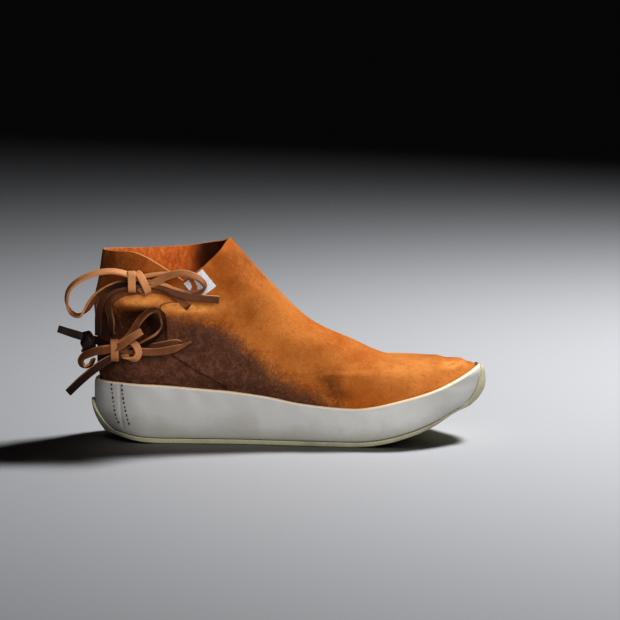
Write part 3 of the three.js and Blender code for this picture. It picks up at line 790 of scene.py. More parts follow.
MAKERS = {
    "suede": suede_finish, "lining": lining_finish, "cut": cut_finish, "thong": thong_finish,
    "cup": cup_finish, "crepe": crepe_finish, "insole": insole_finish, "tag": tag_finish,
    "thread": thread_finish, "floor": floor_finish,
}
FINISHES = {}


def finish(name):
    """A material by name, made once."""
    if name not in FINISHES:
        FINISHES[name] = MAKERS[name]()
    return FINISHES[name]


# Thongs and bows.

# Section of a thong: shares of half its width and half its thickness.
THONG_SECTION = [
    (1, -0.5), (1, 0.5), (0.96, 0.85), (0.84, 1), (0.4, 1), (0, 0.96), (-0.4, 1), (-0.84, 1), (-0.96, 0.85),
    (-1, 0.5), (-1, -0.5), (-0.96, -0.85), (-0.84, -1), (-0.4, -1), (0, -0.96), (0.4, -1), (0.84, -1),
    (0.96, -0.85), (1, -0.5),
]

# The bows. at: the knot's place on the leather; out: how far it stands off, in millimetres. Routes are
# millimetres from the knot: towards the toe, away from the leather, up. faces: where the flat side of the
# thong looks, at points of its route by number. oil_and_shade: at its start and its end, from -1, dry and
# tan, to 1, nearly black with oil and with painted shade. taper: the share of its width that is left at a
# free end. width: the share of the full width.
UPPER_BOW = {
    "at": (0.131, 0.806),
    "out": 11.5,
    "cords": {
        "left_loop": {
            "oil_and_shade": (-0.9, 1.4),
            "route": [
                (0, 1, 4), (-9, 2, 8), (-18, 3, 9.8), (-27.5, 3, 9), (-37, 3, 6), (-46, 3, 0.8),
                (-51, 2, -5), (-52.8, 0, -12), (-52, -1, -18), (-48.7, -1, -22.8), (-43.8, -2, -24.6),
                (-38.5, -2, -20.5), (-34.5, -1, -14.5), (-29, 0, -8.4), (-21.5, 1, -3.6),
                (-12.5, 1, -0.5), (0, 0, 0),
            ],
            "faces": {
                0: (0, 0.45, 1), 3: (-0.1, 0.5, 1), 5: (-0.6, 0.5, 1), 7: (-1, 0.35, 0.2),
                9: (-0.8, -0.3, -0.9), 10: (0, -0.2, -1), 12: (0.6, 0.9, -0.6), 14: (0.2, 1, -0.4),
                16: (0, 1, -0.2),
            },
        },
        "right_loop": {
            "oil_and_shade": (-0.6, 1.2),
            "route": [
                (0, 0, -1), (9.4, 2, -0.3), (15.5, 4, 2.3), (20.9, 5, 5.5), (26.2, 6, 7.6), (34.4, 7, 9),
                (42.4, 8, 7.3), (47.9, 8, 4.2), (51.3, 7, -0.7), (49.2, 5.5, -4.7), (40, 4, -5.6),
                (29, 3, -3.6), (17, 2, -0.6), (0, 0, 0),
            ],
            "faces": {
                0: (0, 1, 0.2), 2: (-0.6, 1, 0.3), 4: (-0.2, 1, 1), 6: (0.3, 0.8, 1), 8: (1, 0.3, 0.4),
                9: (0.3, -0.2, -1), 11: (0, 0.3, -1), 13: (0, 0.6, -1),
            },
        },
        "left_end": {
            "oil_and_shade": (0.4, 0.9), "taper": 0.8,
            "route": [
                (0, 0, -1), (-10, 0, -2), (-18, 0, -4.5), (-24, -1, -9.5), (-27.5, -2.5, -16),
                (-29, -4, -24), (-29.5, -5, -32), (-29.8, -5.5, -40),
            ],
            "faces": {
                0: (0, 1, 0.3), 2: (-0.2, 1, 0.3), 5: (-0.5, 1, 0), 7: (-0.3, 1, 0),
            },
        },
        "right_end": {
            "oil_and_shade": (0.2, 0.35), "taper": 0.98,
            "route": [
                (0, 0, -1), (11, 2, 0.3), (20.7, 3.5, -2), (29, 5, -5.6), (39.5, 5.6, -8.9),
                (50.7, 5.4, -10.3), (61.5, 5, -11.2),
            ],
            "faces": {
                0: (0, 1, 0.3), 2: (0, 1, 0.1), 4: (0, 1, 0.1), 6: (0, 1, -0.1),
            },
        },
        "thin_strand": {
            "oil_and_shade": (-0.6, -0.4), "taper": 0.8, "width": 0.7,
            "route": [
                (-1, 0, 3), (5, 1.5, 5.6), (11, 1, 6.8), (18, -0.5, 7.4), (25, -2.5, 7.2), (31, -4.5, 6),
            ],
            "faces": {
                0: (0, 0.3, 1), 3: (0, 0.3, 1), 5: (0, 0.3, 1),
            },
        },
    },
    "knots": {
        "band": {
            "oil_and_shade": (-0.9, -0.6),
            "route": [
                (-5, -3, -3), (-4.6, -4.5, 1), (-4.4, -3.6, 6), (-4, 0.5, 8.8), (-3.6, 4.6, 6.5),
                (-3.4, 6.2, 1), (-3.4, 5, -4), (-3.6, 0.5, -5.8), (-3.6, -3.5, -3.5), (-3.6, -3, 0),
            ],
            "faces": {
                0: (0, -1, 0), 3: (0, 0.1, 1), 5: (0, 1, 0), 7: (0, 0, -1), 9: (0, -1, 0),
            },
        },
        "fold": {
            "oil_and_shade": (-0.9, -0.8),
            "route": [
                (-3, -3.5, 5), (0, 0.5, 8.2), (2.6, 4, 6.4), (4.8, 6.2, 3), (6.8, 6.6, -0.8),
                (8.2, 5.6, -4.4), (7.8, 2.2, -6.8), (5, -1.5, -5.6), (1, -3, -2),
            ],
            "faces": {
                0: (-0.4, 0, 1), 2: (0.2, 1, 1), 4: (0.5, 1, 0.4), 6: (0.6, 0.4, -1), 8: (0, -1, 0),
            },
        },
    },
}
LOWER_BOW = {
    "at": (0.113, 0.47),
    "out": 8,
    "cords": {
        "wide_loop": {
            "oil_and_shade": (0.95, -1),
            "route": [
                (0, 1, 1), (7.1, 2, 3.8), (15.5, 4, 8.7), (21.2, 5, 13), (24.6, 6, 19.5), (24, 7, 27),
                (21, 8, 31.8), (15.8, 8, 31), (10, 7.5, 26.4), (5.6, 6.5, 20.2), (2.2, 5, 14.4),
                (-4.2, 2, 7.4), (-12, 0, 3),
            ],
            "faces": {
                0: (0.3, 1, -0.8), 2: (0.4, 1, -0.7), 4: (1, 0.1, -0.1), 6: (0.5, 0.2, 1),
                8: (-0.8, 0.8, 0.6), 10: (-0.6, 1, 0.4), 12: (-0.4, 1, 0.6),
            },
        },
        "leaf_end": {
            "oil_and_shade": (-0.1, 0.1), "taper": 0.35,
            "route": [
                (0, 1, 0), (9.3, 2, -0.6), (17, 2.4, -0.8), (27.4, 3, 0.4), (38, 3, 3.4),
                (46.3, 2.6, 7.2),
            ],
            "faces": {
                0: (0, 1, 0.2), 2: (0, 1, 0.25), 5: (0, 1, 0.3),
            },
        },
        "short_end": {
            "oil_and_shade": (0.1, -0.6), "taper": 0.95,
            "route": [
                (-24, -1, -1), (-18, 2, 0.5), (-11, 5, 2.6), (-6, 7.5, 5.2), (0.7, 9.4, 10.4),
                (9.6, 10, 16.2),
            ],
            "faces": {
                0: (0, 1, 0.3), 2: (-0.2, 1, 0.4), 5: (-0.3, 1, 0.3),
            },
        },
        "heel_strand": {
            "oil_and_shade": (0.1, 0.5), "taper": 0.8,
            "route": [
                (0, 0, 0), (-8, 1, 1.4), (-15, 1, 1.6), (-22.4, 0, 0.3), (-30, -3, -2.6), (-35.8, -7, -6),
                (-37.6, -10, -10.6), (-35.2, -11.5, -14.4), (-30.5, -10.5, -12.6), (-28, -9, -8),
            ],
            "faces": {
                0: (0, 1, 0.3), 3: (0, 1, 0.3), 5: (-1, 0.6, 0.4), 7: (0, 0.3, -1), 9: (1, 0.5, 0),
            },
        },
        "low_end": {
            "oil_and_shade": (0.6, 1.1), "taper": 0.95,
            "route": [
                (0, 0, -2.5), (-8.8, 1, -4), (-18, 1.4, -8.2), (-27.8, 1.2, -15), (-37.6, 1, -23.4),
                (-46.5, 0, -32.2),
            ],
            "faces": {
                0: (0, 1, 0.4), 2: (0, 1, 0.3), 5: (0, 1, 0.3),
            },
        },
        "high_end": {
            "oil_and_shade": (1, 1.1), "taper": 0.9,
            "route": [
                (-16, -1, 4), (-23, -6, 6), (-30.7, -11, 7), (-37, -11, 9), (-45.5, -9, 12),
                (-54, -7, 15.2),
            ],
            "faces": {
                0: (0, 1, 0.5), 3: (-0.2, 1, 0.4), 5: (0, 1, 0.5),
            },
        },
    },
    "knots": {
        "middle": {
            "oil_and_shade": (-0.8, -0.6),
            "route": [
                (-3, -3, 2), (-1, -1.5, 6), (2.4, 4, 6.6), (5.6, 7.4, 4), (7, 8.2, -0.4), (5, 7.6, -4.6),
                (0.5, 5.6, -5.8), (-3, 3, -4.4), (-4, -2, -2),
            ],
            "faces": {
                0: (0, -1, 1), 2: (0, 0.7, 1), 4: (0.8, 1, 0), 6: (0, 0.6, -1), 8: (0, -1, 0),
            },
        },
        "ring": {
            "oil_and_shade": (-0.6, -0.4),
            "route": [
                (-12, -4, 0), (-11.8, -3, 5), (-11.6, 0.6, 8), (-11.2, 4.4, 6.4), (-11, 5.8, 1),
                (-11, 5, -4.6), (-11.4, 1, -7.4), (-12, -3, -5), (-12, -4, -1),
            ],
            "faces": {
                0: (0, -1, 0), 2: (0, 0, 1), 4: (-0.3, 1, 0), 6: (0, 0, -1), 8: (0, -1, 0),
            },
        },
        "heel": {
            "oil_and_shade": (1, 1),
            "route": [
                (-34, -18, 2), (-35.5, -16, 8.5), (-33.5, -12, 11.6), (-30.5, -8.4, 8.4), (-29, -7.4, 3),
                (-29.5, -9, -2), (-32, -13, -3.4), (-35.5, -16.5, -0.5), (-37, -15.5, 4.5),
                (-35, -10.5, 8.6), (-32.5, -6.8, 5), (-33, -7.6, -0.5), (-34.5, -12, -2.4),
            ],
            "faces": {
                0: (-1, -1, 0), 2: (0, 0.2, 1), 4: (0.5, 1, 0), 6: (0, 0, -1), 8: (-1, 0, 0.2),
                10: (0, 1, 0.2), 12: (0, 0.2, -1),
            },
        },
    },
}

# The straps on the leather: shares of the length and the collar height, and the lift in millimetres.
UPPER_STRAP = table(
    "along up lift",
    (0.252, 0.69, -3),
    (0.251, 0.694, 2),
    (0.243, 0.712, 3.6),
    (0.222, 0.745, 3.6),
    (0.195, 0.768, 3.4),
    (0.158, 0.775, 3),
    (0.128, 0.768, 2.8),
    (0.1, 0.755, 2.8),
    (0.08, 0.732, 2.6),
    (0.067, 0.7, 2.2),
    (0.06, 0.655, 1.8),
    (0.057, 0.6, 1.6),
    (0.056, 0.56, 1.6),
    (0.056, 0.538, 0.6),
    (0.056, 0.533, -5),
)
LOWER_STRAP = table(
    "along up lift",
    (0.232, 0.5, -2.5),
    (0.231, 0.503, 1.8),
    (0.222, 0.51, 3.6),
    (0.195, 0.5, 3.6),
    (0.16, 0.485, 1.4),
    (0.12, 0.48, 0.9),
    (0.08, 0.47, 0.9),
    (0.064, 0.43, 0.8),
    (0.06, 0.412, 0.8),
    (0.06, 0.41, -4.5),
)
SLOTS = table(
    "along up turn",
    (0.252, 0.69, 0.9),
    (0.056, 0.535, 0.1),
    (0.232, 0.5, 1.4),
    (0.06, 0.41, 1.2),
)
SLOT_CUT = {"long": 6.4, "wide": 2.4}
THONG_STEP = 1.1
STRAP_STEP = 1.2
CAP_OUT = 0.2


def tapered(points, taper):
    """Shares of a thong's full width along it, narrower at a free end."""
    gone = np.linspace(0, 1, len(points))
    return mix(1, taper, ease(0.62, 1, gone))


def laid_thong(name, points, faces, taper=1.0, breadth=1.0, oil_and_shade=(0.6, 0.8)):
    """A flat thong through points, with its flat side looking the way of the faces."""
    s = sizes()
    ahead = np.gradient(points, axis=0)
    ahead /= np.linalg.norm(ahead, axis=-1, keepdims=True)
    up = faces - np.sum(faces * ahead, -1, keepdims=True) * ahead
    up /= np.linalg.norm(up, axis=-1, keepdims=True)
    across = np.cross(ahead, up)
    width = tapered(points, taper)[:, None, None] * breadth
    section = np.array(THONG_SECTION)
    rim = (
        points[:, None]
        + across[:, None] * section[None, :, :1] * s.thong_width / 2 * width
        + up[:, None] * section[None, :, 1:] * s.thong / 2
    )
    inner = mix(rim, points[:, None], 0.08)
    first, last = (np.repeat(points[i][None, None], rim.shape[1], 1) for i in (0, -1))
    before = inner[:1] - ahead[:1, None] * CAP_OUT * MM
    after = inner[-1:] + ahead[-1:, None] * CAP_OUT * MM
    rows = np.concatenate([first, before, rim, after, last])
    piece = laid_grid(name, rows)
    # Pale cut edges, painted paler where they face up and darker where they face down: painted light and
    # shade.
    upward = np.concatenate([across[[0, 0]], across, across[[-1, -1]]])[:, 2:] * np.sign(section[:, 0])
    edge = np.abs(section[:, 0]) ** 3 * mix(0.35, 1, ease(-0.3, 0.5, upward))
    edge[:2] = edge[-2:] = 0.8
    give(piece, "edge", edge)
    # Oil and painted shade along the thong, from its first row to its last.
    along_it = mix(*oil_and_shade, np.linspace(0, 1, len(rows)) ** 2)
    give(piece, "oil_and_shade", np.repeat(along_it[:, None], len(section), 1))
    return closed(piece)


def faces_on(row, route, points):
    """Where the flat side of a thong looks at each point of its smooth route."""
    gone = np.concatenate([[0], np.cumsum(np.linalg.norm(np.diff(route, axis=0), axis=1))])
    share = np.linspace(0, 1, len(points))
    at = gone[list(row["faces"])] / gone[-1]
    faces = np.array(list(row["faces"].values()), float) * (1, -1, 1)
    return np.stack([np.interp(share, at, column) for column in faces.T], -1)


def from_knot(bow, places):
    """Places given from a bow's knot, in the frame."""
    middle = leather_point(*find_places(*bow["at"]), bow["out"] * MM)[0]
    places = np.atleast_2d(np.array(places, float)) * MM
    return middle + places * (1, -1, 1)


def bow_thong(name, bow, row):
    """One thong of a bow, and the points that it follows."""
    route = from_knot(bow, row["route"])
    points = smooth_route(route, THONG_STEP * MM)
    faces = faces_on(row, route, points)
    thong = laid_thong(name, points, faces, row.get("taper", 1), row.get("width", 1), row["oil_and_shade"])
    return finished(smooth(thong), "thong_leather", finish("thong")), points


def add_bow(name, bow, node):
    """The knots and cords of a bow."""
    bands = [bow_thong(f"{name}_{part}", bow, row)[0] for part, row in bow["knots"].items()]
    for part, row in bow["cords"].items():
        cord, points = bow_thong(f"{name}_{part}", bow, row)
        if bands:
            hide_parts(node)
        sizes().thong_width * row.get("width", 1)
        "bare" if "taper" in row else "object"
        bands = ()


def add_strap(name, rows, node, oil_and_shade):
    """A strap that lies on the leather and passes through a slot at each end."""
    route = np.stack([rows["along"], rows["up"], rows["lift"]], -1)
    scale = (sizes().length, sizes().collar_height, MM)
    route = smooth_route(route * scale, STRAP_STEP * MM) / scale
    k, level = find_places(route[:, 0], route[:, 1])
    points = leather_point(k, level, (route[:, 2] + 1) * MM)
    for _ in range(3):
        points[1:-1] = (points[:-2] + 2 * points[1:-1] + points[2:]) / 4
    strap = laid_thong(name, points, direction(k, level), oil_and_shade=oil_and_shade)
    return finished(smooth(strap), "thong_leather", finish("thong"), replaces=(node,))


# Sole.

def inwards(outer, parts, height):
    """Rings drawn in from a ring to the line down its middle."""
    count = len(outer)
    mirror = outer[(count - np.arange(count)) % count]
    rings = [mix(outer, (outer + mirror) / 2, part) for part in parts]
    for ring in rings:
        ring[:, 2] = height
    return rings


def wrapped(rows):
    """Rings with their first point repeated at the end, as rows of a sheet."""
    rows = np.array(rows)
    return np.concatenate([rows, rows[:, :1]], 1)


# Shares of the way in from a ring at which the rings inside it lie.
MIDDLE_PARTS = (1, 0.8, 0.6, 0.4, 0.2, 0.08)

# Tabs of the crepe: the share of the length within which they stand, how much sooner the toe's tab runs
# out on the outer side, its drop below the rim in millimetres, and the shares of half its width at which
# its edge begins to fall and at which it stands out in full.
TABS = {"within": 0.2, "outer_run": 1.3, "drop": 1, "flat": 0.12, "full": 0.65}
EDGE_OUT = 0.4


def tab_shape(k):
    """Height of the crepe's outer edge, and how far it stands out from the cup."""
    s = sizes()
    share, lateral = station(k)
    at_toe = share > 0.5
    across = np.abs(outline(k, np.zeros_like(k))[:, 1]) * np.where(lateral & at_toe, TABS["outer_run"], 1)
    low = plate_top(share)
    part = np.clip(2 * across / np.where(at_toe, s.toe_tab, s.heel_tab), 0, 1)
    toe_top = cup_top(np.array([float(AROUND)]))[0] - TABS["drop"] * MM
    tab_top = np.where(at_toe, toe_top, s.heel_tab_height)
    on_end = (share > 1 - TABS["within"]) | (share < TABS["within"])
    high = np.where(on_end, mix(tab_top, low, ease(TABS["flat"], 1, part)), low)
    near = np.where(on_end, 1 - part, 0)
    return high, mix(EDGE_OUT * MM, s.tab + GAP, ease(0, TABS["full"], near))


def add_outsole():
    """Crepe outsole with a tab up the toe and a lower one up the heel."""
    k = np.arange(0, COUNT, 0.125)
    share, _ = station(k)
    low, plate = underside(share), plate_top(share)
    high, out = tab_shape(k)
    on_tab = ease(0, GAP, high - plate)
    floor = wall_point(k, low, 1.1 * MM - out)
    rows = inwards(floor, MIDDLE_PARTS, low)
    rows.append(floor)
    for up, inside in ((0.2, 0.4), (0.7, 0.05)):
        rows.append(wall_point(k, low + up * MM, inside * MM - out))
    for t in np.linspace(0.15, 1, 12):
        rows.append(wall_point(k, mix(low + 0.7 * MM, high - 0.5 * MM, t), -out))
    for down, inside in ((0.15, 0.15), (0, 0.5)):
        rows.append(wall_point(k, high - down * MM, inside * MM - out))
    inner = mix(0.7 * MM, -GAP, on_tab)
    rows.append(wall_point(k, high, np.maximum(inner - 0.35 * MM, 0.55 * MM - out)))
    for t in np.linspace(0, 1, 7):
        height = mix(high - GAP * on_tab, plate, t)
        rows.append(wall_point(k, height, inner + t * (1 - on_tab) * 0.2 * MM))
    rows += inwards(rows[-1], MIDDLE_PARTS[::-1], plate)
    piece = closed(laid_grid("outsole_crepe", wrapped(rows)))
    return finished(smooth(piece), "crepe", finish("crepe"), replaces=("outsole",))


# The groove of the cup's seam: its place along the cup at the top and below, its half width, all shares of
# the length, and its depth in millimetres.
GROOVE = {"top": 0.069, "below": 0.077, "half": 0.0035, "deep": 0.6}

# The rounded rim of the cup: how far inside and how far below the top, in millimetres at a wall of 3.4.
RIM = ((0.12, 0.95), (0.42, 0.45), (0.9, 0.12), (1.5, 0), (2.2, 0.02), (2.8, 0.25), (3.2, 0.7), (3.4, 1.4))


def wall_marks(share, lateral, t):
    """How far the cup's wall moves inwards at a share of its height: its seam's groove and slight waves."""
    from_seam = (share - mix(GROOVE["below"], GROOVE["top"], t)) / GROOVE["half"]
    groove = GROOVE["deep"] * MM * lateral * np.exp(-from_seam ** 2) * ease(0, 0.2, t)
    wave = np.sin(share * 61 + 4 * t) * np.sin(share * 23 + 1.3)
    wave = wave * ease(0.45, 0.85, t) * (1 - ease(0.97, 1, t))
    deep = mix(0.35, 0.8, ease(0.8, 0.95, share)) * MM
    return deep * wave * np.where(lateral, 1, 0.6) + groove


def add_cup():
    """White rubber cup with a rounded rim and the footbed inside."""
    s = sizes()
    k = np.arange(0, COUNT, 0.1)
    share, lateral = station(k)
    low, high, bed = plate_top(share) + GAP, cup_top(k), bed_top(share)
    rows, worn, on_rim = [], [], []

    def add(height, inside, greyed=0.0, rim=0.0):
        rows.append(wall_point(k, height, inside))
        worn.append(np.broadcast_to(greyed, k.shape))
        on_rim.append(np.full_like(k, rim))

    under = wall_point(k, low, 1.2 * MM)
    for ring in inwards(under, MIDDLE_PARTS, low):
        rows.append(ring)
        worn.append(np.ones_like(k))
        on_rim.append(np.zeros_like(k))
    for up, inside in ((0, 1.2), (0.25, 0.45), (0.9, 0.1)):
        add(low + up * MM, inside * MM, 1)
    for t in np.linspace(0.06, 1, 26):
        height = mix(low + 0.9 * MM, high - 1.6 * MM, t)
        add(height, wall_marks(share, lateral, t), 1 - t)
    for inside, drop in RIM:
        add(high - drop * MM, inside * MM * s.cup_wall / (RIM[-1][0] * MM), 0, 1)
    for t in np.linspace(0.2, 1, 5):
        add(mix(high - 1.4 * MM, bed, t), s.cup_wall)
    for ring in inwards(rows[-1], MIDDLE_PARTS[::-1], bed):
        rows.append(ring)
        worn.append(np.zeros_like(k))
        on_rim.append(np.zeros_like(k))
    sheet = wrapped(rows)
    piece = laid_grid("cup_wall", sheet)
    for name, marks in (("low", worn), ("rim", on_rim)):
        marks = np.array(marks)
        give(piece, name, np.concatenate([marks, marks[:, :1]], 1))
    closed(piece)
    return finished(smooth(piece), "cup_rubber", finish("cup"), replaces=("cup",))


INSOLE_MARGIN = 1.6
INSOLE_DISH = 0.9


def add_insole():
    """Leather sock on the footbed, worn into a shallow dish."""
    s = sizes()
    k = np.arange(0, COUNT, 0.25)
    share, _ = station(k)
    inside = s.cup_wall + GAP + s.leather + GAP + INSOLE_MARGIN * MM
    low = bed_top(share) + GAP
    high = low + s.insole
    edge = wall_point(k, low, inside)

    def ring(height, further):
        points = wall_point(k, low, inside + further)
        points[:, 2] = height
        return points

    rows = inwards(edge, MIDDLE_PARTS, low)
    for height, further in ((low, 0), (low + 0.4 * MM, -0.3), (high - 0.6 * MM, -0.2)):
        rows.append(ring(height, further * MM))
    for height, further in ((high - 0.15 * MM, 0.1), (high, 0.7)):
        rows.append(ring(height, further * MM))
    for part, ring_in in zip(MIDDLE_PARTS[::-1], inwards(rows[-1], MIDDLE_PARTS[::-1], high)):
        ring_in[:, 2] -= INSOLE_DISH * MM * ease(0, 0.6, part)
        rows.append(ring_in)
    piece = closed(laid_grid("insole_sock", wrapped(rows)))
    return finished(smooth(piece), "insole_leather", finish("insole"), replaces=("insole",))


# Upper.

# Creases, listed: the side (outer 1, inner -1), the width and the rise in millimetres, and the places
# that each one follows, as shares of the length and the collar height.
CREASES = [
    (1, 3.2, -1.5, [(0.236, 0.72), (0.27, 0.715), (0.31, 0.708), (0.35, 0.7)]),
    (1, 5, 1.3, [(0.236, 0.69), (0.28, 0.684), (0.33, 0.672)]),
    (1, 8, -5, [(0.075, 0.64), (0.1, 0.615), (0.13, 0.62), (0.165, 0.63)]),
    (1, 5, 2.5, [(0.08, 0.69), (0.12, 0.695), (0.165, 0.69)]),
    (1, 7, -1.6, [(0.6, 0.36), (0.615, 0.31), (0.64, 0.27)]),
    (1, 3, -1.8, [(0.875, 0.37), (0.91, 0.39), (0.94, 0.405), (0.96, 0.395)]),
    (1, 3, 1.4, [(0.88, 0.345), (0.92, 0.365), (0.955, 0.372)]),
    (1, 6, -1.2, [(0.1, 0.9), (0.16, 0.88), (0.22, 0.85)]),
    (1, 8, -1.5, [(0.38, 0.86), (0.42, 0.8), (0.44, 0.74)]),
    (-1, 7, -1.8, [(0.3, 0.62), (0.38, 0.55), (0.46, 0.52)]),
    (-1, 6, 1.4, [(0.3, 0.56), (0.37, 0.49), (0.45, 0.46)]),
    (-1, 7, -1.5, [(0.12, 0.7), (0.2, 0.63), (0.27, 0.6)]),
    (-1, 6, -1.2, [(0.72, 0.41), (0.76, 0.36), (0.78, 0.32)]),
]

# Pleats over the toe, seen from above: across is towards the inner side; widths and rise in millimetres.
TOE_PLEATS = table(
    "along across wide deep rise",
    (0.873, -3, 4, 14, 1.0),
    (0.899, -4, 3, 15, -1.5),
    (0.932, -2, 4, 12, 1.1),
    (0.953, -2, 2.5, 9, -1.2),
    (0.915, -16, 3, 5, -0.9),
)

# Edge of the worn brown patch at the heel's outer side.
STAIN_EDGE = table(
    "up along",
    (0.2, 0.62),
    (0.251, 0.574),
    (0.286, 0.532),
    (0.325, 0.494),
    (0.4, 0.437),
    (0.464, 0.405),
    (0.524, 0.375),
    (0.575, 0.345),
    (0.61, 0.29),
    (0.63, 0.225),
    (0.645, 0.16),
    (0.66, 0.05),
    (0.7, -0.2),
)

# Darker places: smudges, and painted shade in the hollow under the swell. Rubbed places, and painted
# highlights on the swell and on the flap's band. reach: shares of the length and the collar height.
SMUDGES_AND_SHADE = table(
    "side along up length height amount",
    (1, 0.585, 0.33, 0.03, 0.05, 0.35),
    (1, 0.612, 0.3, 0.028, 0.05, 0.55),
    (1, 0.64, 0.25, 0.03, 0.03, 0.4),
    (1, 0.355, 0.925, 0.03, 0.03, 0.25),
    (1, 0.4, 0.895, 0.035, 0.04, 0.4),
    (1, 0.37, 0.79, 0.04, 0.04, 0.2),
    (1, 0.01, 0.85, 0.07, 0.12, 0.5),
    (1, 0.1, 0.9, 0.07, 0.07, 0.38),
    # Painted shade in the hollow under the swell.
    (1, 0.1, 0.61, 0.06, 0.055, 1.3),
    (1, 0.16, 0.59, 0.03, 0.09, 1.1),
    (1, 0.02, 0.5, 0.05, 0.15, 0.5),
    (1, 0.4, 0.66, 0.05, 0.06, 0.2),
    (1, 0.52, 0.42, 0.06, 0.05, 0.1),
    (1, 0.43, 0.82, 0.06, 0.12, 0.12),
    (-1, 0.45, 0.6, 0.06, 0.08, 0.25),
    (-1, 0.62, 0.36, 0.05, 0.05, 0.2),
)
RUBS_AND_HIGHLIGHTS = table(
    "side along up length height amount",
    # Painted highlights on the flap's band and on the swell below the upper bow.
    (1, 0.25, 0.683, 0.07, 0.026, 1.6),
    (1, 0.13, 0.735, 0.06, 0.04, 1.5),
    (1, 0.925, 0.375, 0.03, 0.02, 0.7),
    (1, 0.8, 0.36, 0.12, 0.07, 0.45),
    (-1, 0.5, 0.52, 0.08, 0.05, 0.5),
    (-1, 0.75, 0.38, 0.07, 0.03, 0.5),
    (-1, 0.28, 0.75, 0.07, 0.06, 0.4),
)


CREASE_STEP = 6

# How far the worn patch runs out on each side of its edge, and across the middle of the heel.
STAIN_FADE = {"outside": 15, "inside": 13, "middle": 4}

# The stations under the flap and at its edge between which the sheet is spread, how far the flap's free
# edge stands up and over which share of its reach, and the collar's waves, in millimetres.
SHEET_ENDS = (12.0, 10.0)
FLAP_LIFT = {"rise": 2.4, "reach": 0.12}
COLLAR_WAVE = 0.7

# Where painted shade darkens the lining in its front corner, in metres: towards the toe, and up.
CORNER_SHADE = {"ahead": (-0.088, -0.056), "up": (0.085, 0.11)}


def line_distance(points, line):
    """Distance from each point to a line of points, and how far along the line it is."""
    best = np.full(points.shape[:-1], np.inf)
    where = np.zeros_like(best)
    for i, (a, b) in enumerate(zip(line, line[1:])):
        along_it = np.clip((points - a) @ (b - a) / ((b - a) @ (b - a)), 0, 1)
        far = np.linalg.norm(points - a - along_it[..., None] * (b - a), axis=-1)
        near = far < best
        best = np.where(near, far, best)
        where = np.where(near, (i + along_it) / (len(line) - 1), where)
    return best, where


def crease_rise(points):
    """How far the creases move each point outwards."""
    rise = np.zeros(points.shape[:-1])
    for side, width, lift, line in CREASES:
        places = find_places(*np.array(line).T, side)
        far, where = line_distance(points, smooth_route(smooth_point(*places), CREASE_STEP * MM))
        fade = ease(0, 0.3, where) * (1 - ease(0.7, 1, where))
        rise += lift * MM * fade * np.exp(-(far / (width * MM)) ** 2)
    for a, across, wide, deep, lift in zip(*TOE_PLEATS.values()):
        dx = (points[..., 0] - (a - 0.5) * sizes().length) / (wide * MM)
        dy = (points[..., 1] - across * MM) / (deep * MM)
        rise += lift * MM * np.exp(-dx * dx - dy * dy)
    return rise


def patches(points, rows):
    """Soft patches: how strong each point's mark is."""
    s = sizes()
    a, u = points[..., 0] / s.length + 0.5, points[..., 2] / s.collar_height
    total = np.zeros(points.shape[:-1])
    for side, at, up, reach, height, amount in zip(*rows.values()):
        on_side = ease(-s.ball_width / 12, s.ball_width / 12, -side * points[..., 1])
        total += amount * on_side * np.exp(-((a - at) / reach) ** 2 - ((u - up) / height) ** 2)
    return np.clip(total, 0, 1)


def stained(points):
    """1 inside the worn brown patch, 0 outside it, soft between."""
    s = sizes()
    place = points[..., ::2]
    line = np.stack([(STAIN_EDGE["along"] - 0.5) * s.length, STAIN_EDGE["up"] * s.collar_height], -1)
    edge = (along(STAIN_EDGE, "along", place[..., 1] / s.collar_height, "up") - 0.5) * s.length
    far = line_distance(place, line)[0] * np.where(place[..., 0] < edge, 1, -1)
    across = STAIN_FADE["middle"] * MM
    inside = ease(-STAIN_FADE["outside"] * MM, STAIN_FADE["inside"] * MM, far)
    return inside * ease(-across, across, -points[..., 1])


def flap_edge(level):
    """The station of the flap's free edge at a level."""
    k, levels = find_places(FLAP_EDGE["along"], FLAP_EDGE["up"])
    rows = {"level": levels[::-1], "k": k[::-1]}
    return along(rows, "k", level, "level")


def even_shares(count):
    """Shares of the way round the sheet that stand about evenly on the leather."""
    w = np.linspace(0, 1, 1600)
    k = mix(SHEET_ENDS[0], -COUNT + SHEET_ENDS[1], w)
    gone = 0
    for level in (0.15, 0.5, 0.9):
        steps = np.linalg.norm(np.diff(smooth_point(k, np.full_like(k, level)), axis=0), axis=1)
        gone = gone + np.concatenate([[0], np.cumsum(steps)])
    return np.interp(np.linspace(0, gone[-1], count), gone, w)


